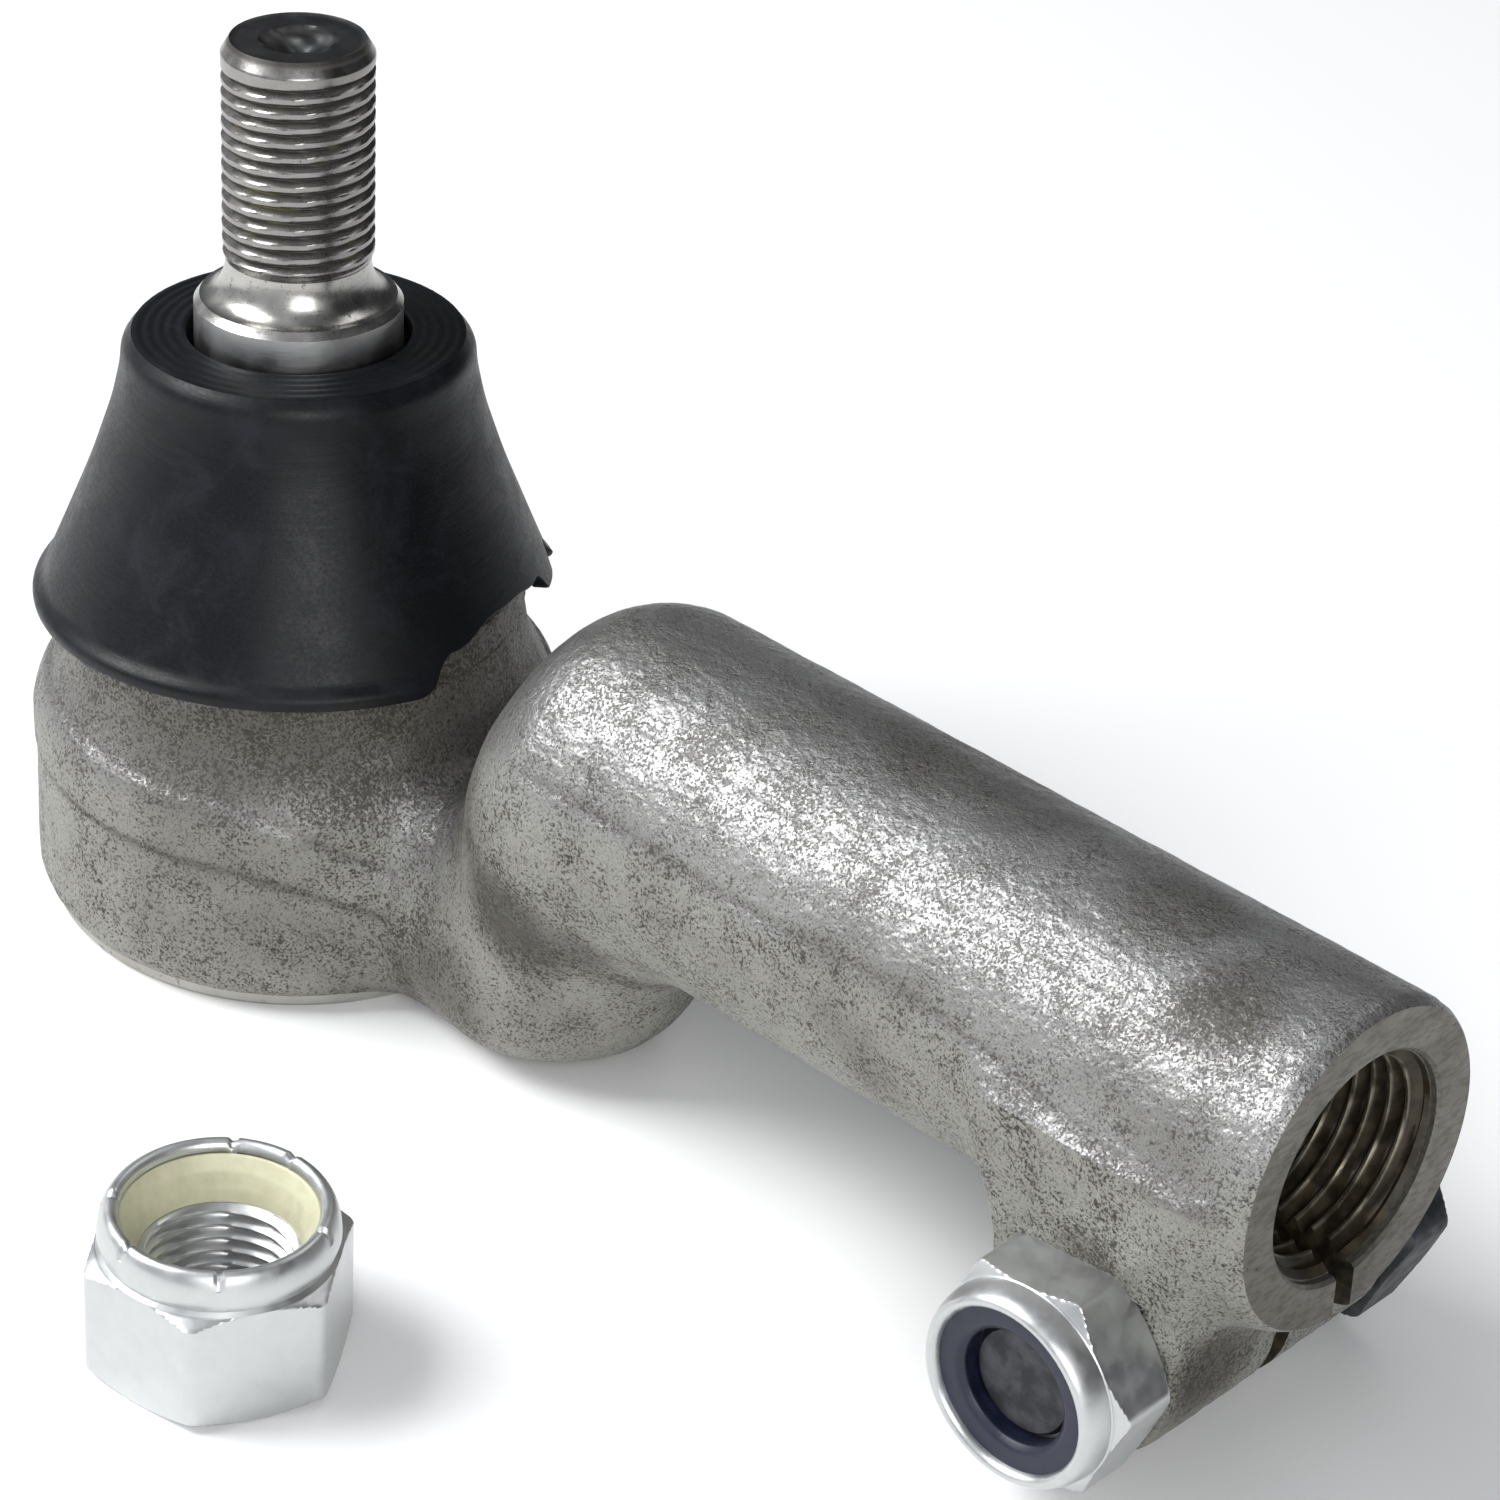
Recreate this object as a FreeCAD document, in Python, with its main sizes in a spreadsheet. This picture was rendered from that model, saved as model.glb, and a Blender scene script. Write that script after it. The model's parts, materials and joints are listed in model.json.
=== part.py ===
"""Tie rod end: forged housing, sealed ball stud, clamped rod socket and its fasteners.

Frame: millimetres, origin on the ball socket's axis at the bottom face of the housing,
+Z up, square to that face, +X out of the open end of the rod socket. The ball stud and
its boot rest a few degrees off +Z, turned about the ball centre.
"""
import FreeCAD, Part
import math
import os

import Sketcher

V = FreeCAD.Vector
doc = FreeCAD.newDocument("TieRodEnd")

# Driving dimensions -----------------------------------------------------------------------
DIMENSIONS = {
    "ball_z": 27.0,            # height of the ball centre
    "ball_rad": 16.0,
    "liner_out": 18.5,         # outside of the floating liner
    "socket_rad": 18.56,       # spherical seat in the housing
    "bore_rad": 20.4,          # assembly bore under the ball
    "head_rad": 36.0,
    "head_top": 50.0,
    "neck_rad": 9.0,
    "band_rad": 13.7,          # ground band the boot grips
    "rim_z": 87.3,
    "thread_rad": 10.0,        # M20 stud thread
    "stud_top": 122.7,
    "tube_z": 47.4,            # height of the rod socket axis
    "tube_rad": 22.0,
    "tube_start": 47.6,        # flat of the closed end
    "tube_end": 179.7,
    "rod_minor": 13.4,         # M30 x 3 thread, minor radius
    "mouth_rad": 15.5,
    "mouth_len": 2.6,
    "bore_len": 88.0,
    "slot_wide": 3.4,
    "slot_start": 119.0,
    "lug_x": 157.2,            # clamp bolt axis
    "lug_z": 19.7,
    "lug_rad": 14.6,
    "lug_half": 21.0,
    "bolt_rad": 8.0,           # M16 clamp bolt
    "bolt_len": 52.0,
    "clamp_flats": 27.0,
    "head_flats": 30.0,
    "bolt_head": 9.6,
    "clamp_nut_high": 13.4,
    "stud_flats": 30.0,
    "stud_nut_high": 22.0,
    "boot_top": 82.3,
    "boot_low": 43.7,
    "boot_rad": 35.4,
    "lean_along": -4.0,        # resting lean of the stud about +Y, degrees
    "lean_across": -3.24,      # and about +X
}

sheet = doc.addObject("Spreadsheet::Sheet", "Dims")
for row, (alias, value) in enumerate(DIMENSIONS.items(), start=1):
    sheet.set("A%d" % row, alias)
    sheet.set("B%d" % row, str(value))
    sheet.setAlias("B%d" % row, alias)
doc.recompute()


def dim(expression):
    """Number behind a plain value or an expression on the dimension table."""
    if isinstance(expression, str):
        return float(sheet.evalExpression(expression.replace("Dims.", "")))
    return float(expression)


def new_body(name, position=(0, 0, 0), rotation=None):
    """PartDesign body with its own label and placement."""
    body = doc.addObject("PartDesign::Body", name)
    body.Label = name
    body.Placement = FreeCAD.Placement(V(*position), rotation or FreeCAD.Rotation())
    return body


def new_sketch(body, name, plane, shift=("0", "0", "0")):
    """Sketch on one of the body's origin planes, moved by expressions along its axes."""
    sketch = body.newObject("Sketcher::SketchObject", name)
    origin_plane = [f for f in body.Origin.OriginFeatures if f.Role == plane][0]
    sketch.AttachmentSupport = [(origin_plane, "")]
    sketch.MapMode = "FlatFace"
    for axis, text in zip("xyz", shift):
        if text != "0":
            sketch.setExpression(".AttachmentOffset.Base." + axis, text)
    doc.recompute()
    return sketch


def place(sketch, geometry, end, coordinate, direction):
    """Tie one coordinate of a sketch point to a number or a dimension expression."""
    value = dim(coordinate)
    if abs(value) < 1e-9:
        axis = -2 if direction == "DistanceX" else -1
        sketch.addConstraint(Sketcher.Constraint("PointOnObject", geometry, end, axis))
        return
    index = sketch.addConstraint(
        Sketcher.Constraint(direction, -1, 1, geometry, end, value))
    if isinstance(coordinate, str):
        sketch.setExpression("Constraints[%d]" % index, coordinate)


def outline(sketch, points):
    """Closed outline: (u, v) corners; (u, v, (cu, cv)) starts an arc about (cu, cv)."""
    count = len(points)
    number = [(dim(p[0]), dim(p[1])) for p in points]
    arcs = {}
    for i, point in enumerate(points):
        start = V(number[i][0], number[i][1], 0)
        stop = V(number[(i + 1) % count][0], number[(i + 1) % count][1], 0)
        if len(point) < 3:
            sketch.addGeometry(Part.LineSegment(start, stop), False)
            continue
        centre = V(dim(point[2][0]), dim(point[2][1]), 0)
        first = math.atan2(start.y - centre.y, start.x - centre.x)
        last = math.atan2(stop.y - centre.y, stop.x - centre.x)
        turn = (last - first + math.pi) % (2 * math.pi) - math.pi
        circle = Part.Circle(centre, V(0, 0, 1), (start - centre).Length)
        if turn > 0:
            sketch.addGeometry(Part.ArcOfCircle(circle, first, first + turn), False)
            arcs[i] = (1, 2)
        else:
            sketch.addGeometry(Part.ArcOfCircle(circle, last, last - turn), False)
            arcs[i] = (2, 1)
    for i in range(count):
        stop_point = arcs.get(i, (1, 2))[1]
        follower = (i + 1) % count
        start_point = arcs.get(follower, (1, 2))[0]
        sketch.addConstraint(
            Sketcher.Constraint("Coincident", i, stop_point, follower, start_point))
    for i, point in enumerate(points):
        start_point = arcs.get(i, (1, 2))[0]
        previous_arc = (i - 1) % count in arcs
        place(sketch, i, start_point, point[1], "DistanceY")
        if not previous_arc or abs(number[i][0]) < 1e-9:
            place(sketch, i, start_point, point[0], "DistanceX")
        if i in arcs:
            place(sketch, i, 3, point[2][0], "DistanceX")
            place(sketch, i, 3, point[2][1], "DistanceY")
    doc.recompute()


def ring_of(sketch, radius, centre=("0", "0")):
    """Circle with its radius and centre tied to the dimension table."""
    middle = V(dim(centre[0]), dim(centre[1]), 0)
    index = sketch.addGeometry(Part.Circle(middle, V(0, 0, 1), dim(radius)), False)
    size = sketch.addConstraint(Sketcher.Constraint("Radius", index, dim(radius)))
    if isinstance(radius, str):
        sketch.setExpression("Constraints[%d]" % size, radius)
    place(sketch, index, 3, centre[0], "DistanceX")
    place(sketch, index, 3, centre[1], "DistanceY")
    doc.recompute()


def turned(body, kind, name, sketch, axis="V_Axis"):
    """Full revolution or groove of a sketch about one of its own axes."""
    feature = body.newObject("PartDesign::" + kind, name)
    feature.Profile = sketch
    feature.ReferenceAxis = (sketch, [axis])
    feature.Angle = 360.0
    sketch.Visibility = False
    doc.recompute()
    return feature


def straight(body, kind, name, sketch, length, middle=False, back=False):
    """Pad or pocket of a sketch over a length tied to the dimension table."""
    feature = body.newObject("PartDesign::" + kind, name)
    feature.Profile = sketch
    feature.Length = dim(length)
    if isinstance(length, str):
        feature.setExpression("Length", length)
    if middle:
        feature.Midplane = True
    if back:
        feature.Reversed = True
    sketch.Visibility = False
    doc.recompute()
    return feature


def cut_checked(body, kind, name, sketch, length, middle=False):
    """Pocket that flips its direction when it removed nothing."""
    before = body.Shape.Volume
    feature = straight(body, kind, name, sketch, length, middle)
    if before - body.Shape.Volume < 1e-3:
        feature.Reversed = True
        doc.recompute()
    return feature


def hexagon(sketch, flats):
    """Regular hexagon about the sketch origin, first corner on the horizontal axis."""
    reach = dim(flats) / math.sqrt(3.0)
    spots = []
    for k in range(6):
        angle = math.radians(60 * k)
        u = "%s * %.9f" % (flats, math.cos(angle) / math.sqrt(3.0))
        v = "%s * %.9f" % (flats, math.sin(angle) / math.sqrt(3.0))
        u = 0.0 if abs(reach * math.cos(angle)) < 1e-6 else u
        v = 0.0 if abs(reach * math.sin(angle)) < 1e-6 else v
        spots.append((u, v))
    outline(sketch, spots)


# Housing ----------------------------------------------------------------------------------
housing = new_body("housing")

head_profile = new_sketch(housing, "HeadProfile", "XZ_Plane")
outline(head_profile, [
    (0.0, 0.0),
    (32.5, 0.0),
    (33.4, 0.9),
    (33.4, 2.4),
    (35.4, 5.0),
    ("Dims.head_rad", 10.0),
    ("Dims.head_rad", "Dims.ball_z"),
    (35.2, 30.6),
    (33.0, 34.6),
    (31.6, 38.4),
    (30.6, 45.5),
    (27.6, "Dims.head_top"),
    (0.0, "Dims.head_top"),
])
turned(housing, "Revolution", "Head", head_profile)

tube_profile = new_sketch(housing, "TubeProfile", "XZ_Plane", ("0", "Dims.tube_z", "0"))
outline(tube_profile, [
    ("Dims.tube_start", 0.0),
    ("Dims.tube_end", 0.0),
    ("Dims.tube_end", "Dims.tube_rad - 1.2"),
    ("Dims.tube_end - 1.2", "Dims.tube_rad"),
    ("Dims.tube_start + 15.0", "Dims.tube_rad",
     ("Dims.tube_start + 15.0", "Dims.tube_rad - 15.0")),
    ("Dims.tube_start", "Dims.tube_rad - 15.0"),
])
turned(housing, "Revolution", "Tube", tube_profile, "H_Axis")

knuckle_profile = new_sketch(housing, "KnuckleProfile", "XZ_Plane", ("51", "0", "0"))
outline(knuckle_profile, [
    (0.0, 2.0),
    (8.0, 2.0),
    (15.5, 5.0),
    (18.5, 10.0),
    (19.5, 26.0),
    (12.0, 34.0),
    (8.0, 43.0),
    (0.0, 43.0),
])
turned(housing, "Revolution", "Knuckle", knuckle_profile)

arm_profile = new_sketch(housing, "ArmProfile", "XZ_Plane")
outline(arm_profile, [
    (0.0, 6.0),
    (46.0, 6.0),
    (60.0, 12.0),
    (60.0, 43.0),
    (46.0, 38.0),
    (38.0, 29.0),
    (0.0, 29.0),
])
straight(housing, "Pad", "Arm", arm_profile, 28.0, middle=True)

lug_profile = new_sketch(housing, "LugProfile", "XZ_Plane")
outline(lug_profile, [
    ("Dims.lug_x - Dims.lug_rad", "Dims.tube_z - 4"),
    ("Dims.lug_x - Dims.lug_rad", "Dims.lug_z", ("Dims.lug_x", "Dims.lug_z")),
    ("Dims.lug_x + Dims.lug_rad * 0.707107", "Dims.lug_z - Dims.lug_rad * 0.707107",
     ("Dims.lug_x", "Dims.lug_z")),
    ("Dims.lug_x + Dims.lug_rad", "Dims.lug_z"),
    ("Dims.lug_x + Dims.lug_rad", "Dims.tube_z - 4"),
])
straight(housing, "Pad", "Lug", lug_profile, "Dims.lug_half * 2", middle=True)

cavity_profile = new_sketch(housing, "CavityProfile", "XZ_Plane")
outline(cavity_profile, [
    (0.0, 0.0),
    (22.5, 0.0),
    (22.5, 1.6),
    (23.8, 1.6),
    (23.8, 3.1),
    (22.5, 3.1),
    (22.5, 6.2),
    ("Dims.bore_rad", 6.2),
    ("Dims.bore_rad", "Dims.ball_z"),
    ("Dims.socket_rad", "Dims.ball_z", (0.0, "Dims.ball_z")),
    ("Dims.socket_rad * 0.819152", "Dims.ball_z + Dims.socket_rad * 0.573576"),
    (22.6, "Dims.head_top"),
    (0.0, "Dims.head_top"),
])
turned(housing, "Groove", "Cavity", cavity_profile)

bore_profile = new_sketch(housing, "BoreProfile", "XZ_Plane", ("0", "Dims.tube_z", "0"))
outline(bore_profile, [
    ("Dims.tube_end", 0.0),
    ("Dims.tube_end", "Dims.mouth_rad"),
    ("Dims.tube_end - Dims.mouth_len", "Dims.mouth_rad"),
    ("Dims.tube_end - Dims.mouth_len - 1.6", "Dims.rod_minor"),
    ("Dims.tube_end - Dims.bore_len", "Dims.rod_minor"),
    ("Dims.tube_end - Dims.bore_len - 7", 0.0),
])
turned(housing, "Groove", "RodBore", bore_profile, "H_Axis")

slot_profile = new_sketch(housing, "SlotProfile", "XY_Plane")
outline(slot_profile, [
    ("Dims.slot_start", "-Dims.slot_wide / 2"),
    (190.0, "-Dims.slot_wide / 2"),
    (190.0, "Dims.slot_wide / 2"),
    ("Dims.slot_start", "Dims.slot_wide / 2"),
])
cut_checked(housing, "Pocket", "Slot", slot_profile, "Dims.tube_z")

bolt_hole = new_sketch(housing, "BoltHoleProfile", "XZ_Plane")
ring_of(bolt_hole, "Dims.bolt_rad + 0.06", ("Dims.lug_x", "Dims.lug_z"))
cut_checked(housing, "Pocket", "BoltHole", bolt_hole, 90.0, middle=True)

# Floating liner ---------------------------------------------------------------------------
ball_liner = new_body("ball_liner")
liner_profile = new_sketch(ball_liner, "LinerProfile", "XZ_Plane")
LOW_COS, LOW_SIN = math.cos(math.radians(46)), math.sin(math.radians(46))
TOP_COS, TOP_SIN = math.cos(math.radians(34)), math.sin(math.radians(34))
BALL_CENTRE = (0.0, "Dims.ball_z")
outline(liner_profile, [
    ("Dims.liner_out * %.6f" % LOW_COS, "Dims.ball_z - Dims.liner_out * %.6f" % LOW_SIN,
     BALL_CENTRE),
    ("Dims.liner_out * %.6f" % TOP_COS, "Dims.ball_z + Dims.liner_out * %.6f" % TOP_SIN),
    ("(Dims.ball_rad + 0.05) * %.6f" % TOP_COS,
     "Dims.ball_z + (Dims.ball_rad + 0.05) * %.6f" % TOP_SIN, BALL_CENTRE),
    ("(Dims.ball_rad + 0.05) * %.6f" % LOW_COS,
     "Dims.ball_z - (Dims.ball_rad + 0.05) * %.6f" % LOW_SIN),
])
turned(ball_liner, "Revolution", "LinerShell", liner_profile)

# Lower seat, spring, cover, seal, retaining ring ------------------------------------------
lower_seat = new_body("lower_seat")
seat_profile = new_sketch(lower_seat, "SeatProfile", "XZ_Plane")
seat_hole_z = DIMENSIONS["ball_z"] - math.sqrt(DIMENSIONS["socket_rad"] ** 2 - 9.5 ** 2)
seat_edge = math.sqrt(DIMENSIONS["socket_rad"] ** 2 - 1.0)
outline(seat_profile, [
    (9.5, 9.4),
    (19.4, 9.4),
    ("Dims.bore_rad - 0.06", 10.4),
    ("Dims.bore_rad - 0.06", "Dims.ball_z - 1"),
    (seat_edge, "Dims.ball_z - 1", BALL_CENTRE),
    (9.5, seat_hole_z),
])
turned(lower_seat, "Revolution", "SeatCup", seat_profile)

preload_spring = new_body("preload_spring")
spring_profile = new_sketch(preload_spring, "SpringProfile", "XZ_Plane")
outline(spring_profile, [
    (10.5, 7.9),
    (19.6, 6.3),
    (19.9, 7.5),
    (10.8, 9.2),
])
turned(preload_spring, "Revolution", "SpringDisc", spring_profile)

cover_plate = new_body("cover_plate")
cover_profile = new_sketch(cover_plate, "CoverProfile", "XZ_Plane")
outline(cover_profile, [
    (0.0, 0.0),
    (13.2, 0.0),
    (14.0, 0.8),
    (14.0, 2.4),
    (14.9, 3.3),
    (22.4, 3.3),
    (22.4, 3.7),
    (20.8, 3.7),
    (20.8, 5.3),
    (22.4, 5.3),
    (22.4, 6.1),
    (0.0, 6.1),
])
turned(cover_plate, "Revolution", "CoverDisc", cover_profile)

cover_seal = doc.addObject("Part::Torus", "cover_seal")
cover_seal.Label = "cover_seal"
cover_seal.Radius1 = 21.6
cover_seal.Radius2 = 0.7
cover_seal.setExpression("Radius1", "Dims.bore_rad + 1.2")
cover_seal.Placement = FreeCAD.Placement(V(0, 0, 4.5), FreeCAD.Rotation())

retaining_ring = new_body("retaining_ring", (0, 0, 1.65))
ring_profile = new_sketch(retaining_ring, "RingProfile", "XY_Plane")
ring_of(ring_profile, 23.6)
ring_of(ring_profile, 20.6)
straight(retaining_ring, "Pad", "RingBlank", ring_profile, 1.4)
ear_profile = new_sketch(retaining_ring, "EarProfile", "XY_Plane")
ring_of(ear_profile, 2.4, (18.6, 8.2))
ring_of(ear_profile, 2.4, (18.6, -8.2))
straight(retaining_ring, "Pad", "RingEars", ear_profile, 1.4)
gap_profile = new_sketch(retaining_ring, "GapProfile", "XY_Plane")
outline(gap_profile, [(15.0, -6.6), (26.0, -6.6), (26.0, 6.6), (15.0, 6.6)])
cut_checked(retaining_ring, "Pocket", "RingGap", gap_profile, 4.0, middle=True)
hole_profile = new_sketch(retaining_ring, "PlierHoleProfile", "XY_Plane")
ring_of(hole_profile, 1.0, (18.6, 8.6))
ring_of(hole_profile, 1.0, (18.6, -8.6))
cut_checked(retaining_ring, "Pocket", "PlierHoles", hole_profile, 4.0, middle=True)

# Ball stud --------------------------------------------------------------------------------
LEAN = FreeCAD.Rotation(V(0, 1, 0), DIMENSIONS["lean_along"]).multiply(
    FreeCAD.Rotation(V(1, 0, 0), DIMENSIONS["lean_across"]))
BALL_CENTRE_AT = V(0, 0, DIMENSIONS["ball_z"])
LEAN_SHIFT = BALL_CENTRE_AT - LEAN.multVec(BALL_CENTRE_AT)

ball_stud = new_body("ball_stud", LEAN_SHIFT, LEAN)
stud_profile = new_sketch(ball_stud, "StudProfile", "XZ_Plane")
neck_z = "Dims.ball_z + sqrt(Dims.ball_rad ^ 2 - Dims.neck_rad ^ 2)"
outline(stud_profile, [
    (0.0, "Dims.ball_z - Dims.ball_rad", BALL_CENTRE),
    ("Dims.ball_rad", "Dims.ball_z", BALL_CENTRE),
    ("Dims.neck_rad", neck_z),
    ("Dims.neck_rad", 51.5),
    ("Dims.band_rad", 61.5),
    ("Dims.band_rad", "Dims.rim_z - 1.0"),
    ("Dims.band_rad - 0.8", "Dims.rim_z"),
    (11.4, "Dims.rim_z + 1.4"),
    (10.1, "Dims.rim_z + 3.2"),
    (9.4, "Dims.rim_z + 5.2"),
    ("Dims.thread_rad", "Dims.rim_z + 6.4"),
    ("Dims.thread_rad", "Dims.stud_top - 1.6"),
    (8.8, "Dims.stud_top"),
    (2.6, "Dims.stud_top"),
    (0.0, "Dims.stud_top - 2.4"),
])
turned(ball_stud, "Revolution", "StudBlank", stud_profile)

# Boot -------------------------------------------------------------------------------------
boot = new_body("boot", LEAN_SHIFT, LEAN)
boot_profile = new_sketch(boot, "BootProfile", "XZ_Plane")
outline(boot_profile, [
    (14.7, "Dims.boot_top"),
    (22.0, "Dims.boot_top - 0.3"),
    (23.4, "Dims.boot_top - 1.8"),
    (23.6, "Dims.boot_top - 4.8"),
    (24.8, 72.0),
    (27.8, 63.0),
    (31.9, 53.0),
    (34.2, 47.0),
    ("Dims.boot_rad", 45.4),
    ("Dims.boot_rad", 44.5),
    (34.7, "Dims.boot_low"),
    (33.2, "Dims.boot_low"),
    (30.2, 50.4),
    (25.4, 59.4),
    (18.2, 65.0),
    ("Dims.band_rad + 0.06", 66.6),
    ("Dims.band_rad + 0.06", 79.0),
    (14.7, 79.8),
])
turned(boot, "Revolution", "BootCone", boot_profile)
notch_profile = new_sketch(boot, "NotchProfile", "YZ_Plane", ("0", "0", "20"))
outline(notch_profile, [
    (-11.5, 41.0),
    (30.0, 41.0),
    (26.0, 46.0),
    (20.0, 48.2),
    (13.5, 50.4),
    (5.0, 50.0),
    (-1.5, 49.0),
    (-6.0, 46.9),
    (-9.9, 43.4),
])
cut_checked(boot, "Pocket", "BootNotch", notch_profile, 30.0)

# Clamp bolt -------------------------------------------------------------------------------
ALONG_Y = FreeCAD.Rotation(V(1, 0, 0), 90)
AGAINST_Y = FreeCAD.Rotation(V(1, 0, 0), -90)
LUG = (DIMENSIONS["lug_x"], DIMENSIONS["lug_half"], DIMENSIONS["lug_z"])


LEAD_WIDE = 6.0                # reach of a chamfer past the corners of a hexagon
LEAD_PAST = 2.0                # and past its face


def lead_cut(body, name, reach, height, slope, way):
    """Chamfer the corners of a hexagon on the face at a height, way 1 up or -1 down."""
    sketch = new_sketch(body, name + "Profile", "XZ_Plane")
    outline(sketch, [
        (reach, height),
        (reach + LEAD_WIDE, height - way * slope * LEAD_WIDE),
        (reach + LEAD_WIDE, height + way * LEAD_PAST),
        (reach, height + way * LEAD_PAST),
    ])
    return turned(body, "Groove", name, sketch)


clamp_bolt = new_body("clamp_bolt", LUG, AGAINST_Y)
bolt_head = new_sketch(clamp_bolt, "BoltHeadProfile", "XY_Plane")
hexagon(bolt_head, "Dims.head_flats")
straight(clamp_bolt, "Pad", "BoltHead", bolt_head, "Dims.bolt_head")
lead_cut(clamp_bolt, "BoltHeadLead", 14.2, DIMENSIONS["bolt_head"], 0.5, 1.0)
shank_profile = new_sketch(clamp_bolt, "ShankProfile", "XZ_Plane")
outline(shank_profile, [
    (0.0, 0.0),
    (0.0, "-Dims.bolt_len"),
    (6.7, "-Dims.bolt_len"),
    ("Dims.bolt_rad", "-Dims.bolt_len + 1.4"),
    ("Dims.bolt_rad", 0.0),
])
turned(clamp_bolt, "Revolution", "BoltShank", shank_profile)


RING_LIP = 1.0                 # collar above the locking ring
RING_WALL = 0.8                # collar's undercut round the ring
LEAD_PART = 0.49               # start of the corner chamfer as a part of the flats


def lock_nut(name, position, rotation, flats, high, bore, hex_high, collar, throat, ring_low):
    """Prevailing-torque nut blank: hexagon, rolled collar, bore and ring groove."""
    body = new_body(name, position, rotation)
    plan = new_sketch(body, name + "_plan", "XY_Plane")
    hexagon(plan, flats)
    straight(body, "Pad", name + "_hexagon", plan, hex_high)
    lead = dim(flats) * LEAD_PART
    lead_cut(body, name + "_top_lead", lead, hex_high, 0.55, 1.0)
    lead_cut(body, name + "_seat_lead", lead, 0.0, 0.45, -1.0)
    rim = new_sketch(body, name + "_rim", "XZ_Plane")
    outline(rim, [
        (0.0, hex_high - 0.5),
        (collar, hex_high - 0.5),
        (collar, high - 1.9),
        (collar - 0.5, high - 0.5),
        (collar - 1.4, high),
        (0.0, high),
    ])
    turned(body, "Revolution", name + "_collar", rim)
    hollow = new_sketch(body, name + "_hollow", "XZ_Plane")
    outline(hollow, [
        (0.0, 0.0),
        (bore + 0.9, 0.0),
        (bore, 0.9),
        (bore, ring_low),
        (throat + RING_WALL, ring_low),
        (throat + RING_WALL, high - RING_LIP),
        (throat, high - RING_LIP + 0.4),
        (throat, high),
        (0.0, high),
    ])
    turned(body, "Groove", name + "_bore", hollow)
    return body


def lock_ring(name, position, rotation, high, bore, throat, ring_low):
    """Polymer locking ring held under the rolled collar of a nut."""
    body = new_body(name, position, rotation)
    section = new_sketch(body, name + "_section", "XZ_Plane")
    ring_wall = RING_WALL - 0.1
    ring_high = high - RING_LIP - 0.1
    outline(section, [
        (bore, ring_low + 0.1),
        (throat + ring_wall, ring_low + 0.1),
        (throat + ring_wall, ring_high),
        (bore + 0.5, ring_high),
        (bore, ring_high - 0.5),
    ])
    turned(body, "Revolution", name + "_ring", section)
    return body


CLAMP_SEAT = (DIMENSIONS["lug_x"], -DIMENSIONS["lug_half"], DIMENSIONS["lug_z"])
CLAMP_HIGH = DIMENSIONS["clamp_nut_high"]
CLAMP_BORE = DIMENSIONS["bolt_rad"] + 0.06
CLAMP_THROAT = 10.8
CLAMP_RING_LOW = 8.4
clamp_nut = lock_nut("clamp_nut", CLAMP_SEAT, ALONG_Y, "Dims.clamp_flats", CLAMP_HIGH,
                     CLAMP_BORE, 9.4, 13.3, CLAMP_THROAT, CLAMP_RING_LOW)
clamp_nut_insert = lock_ring("clamp_nut_insert", CLAMP_SEAT, ALONG_Y, CLAMP_HIGH,
                             CLAMP_BORE, CLAMP_THROAT, CLAMP_RING_LOW)

STUD_NUT_SEAT = (69.4, -78.4, 0.0)
NUT_TURN = FreeCAD.Rotation(V(0, 0, 1), 5)
STUD_HIGH = DIMENSIONS["stud_nut_high"]
STUD_BORE = DIMENSIONS["thread_rad"] + 0.06
STUD_THROAT = 12.2
STUD_RING_LOW = 14.6
stud_nut = lock_nut("stud_nut", STUD_NUT_SEAT, NUT_TURN, "Dims.stud_flats", STUD_HIGH,
                    STUD_BORE, 16.4, 14.9, STUD_THROAT, STUD_RING_LOW)
stud_nut_insert = lock_ring("stud_nut_insert", STUD_NUT_SEAT, NUT_TURN, STUD_HIGH,
                            STUD_BORE, STUD_THROAT, STUD_RING_LOW)

# Check and write --------------------------------------------------------------------------
doc.recompute()
for item in doc.Objects:
    if "Invalid" in item.State or "Error" in item.State:
        raise RuntimeError("%s did not build" % item.Name)

NODES = [housing, ball_liner, lower_seat, preload_spring, cover_plate, cover_seal,
         retaining_ring, ball_stud, boot, clamp_bolt, clamp_nut, clamp_nut_insert,
         stud_nut, stud_nut_insert]

os.makedirs("parts", exist_ok=True)
for node in NODES:
    if node.Shape.isNull() or not node.Shape.isValid():
        raise RuntimeError("%s is not a valid shape" % node.Label)
    if len(node.Shape.Solids) != 1:
        raise RuntimeError("%s has %d solids" % (node.Label, len(node.Shape.Solids)))
    node.Shape.exportStep("parts/%s.step" % node.Label)
    print("%-18s %10.1f mm3" % (node.Label, node.Shape.Volume))
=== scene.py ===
"""Looks of the tie rod end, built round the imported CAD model.

Lengths are in millimetres until a mesh is made. The frame is the CAD model's: +Z up, +X out
of the rod socket. The stud and its boot are made upright about the ball centre and then
turned to the lean that the CAD gives them.
"""
import json
import math

import bpy
import numpy as np
from mathutils import Matrix, Vector


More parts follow.
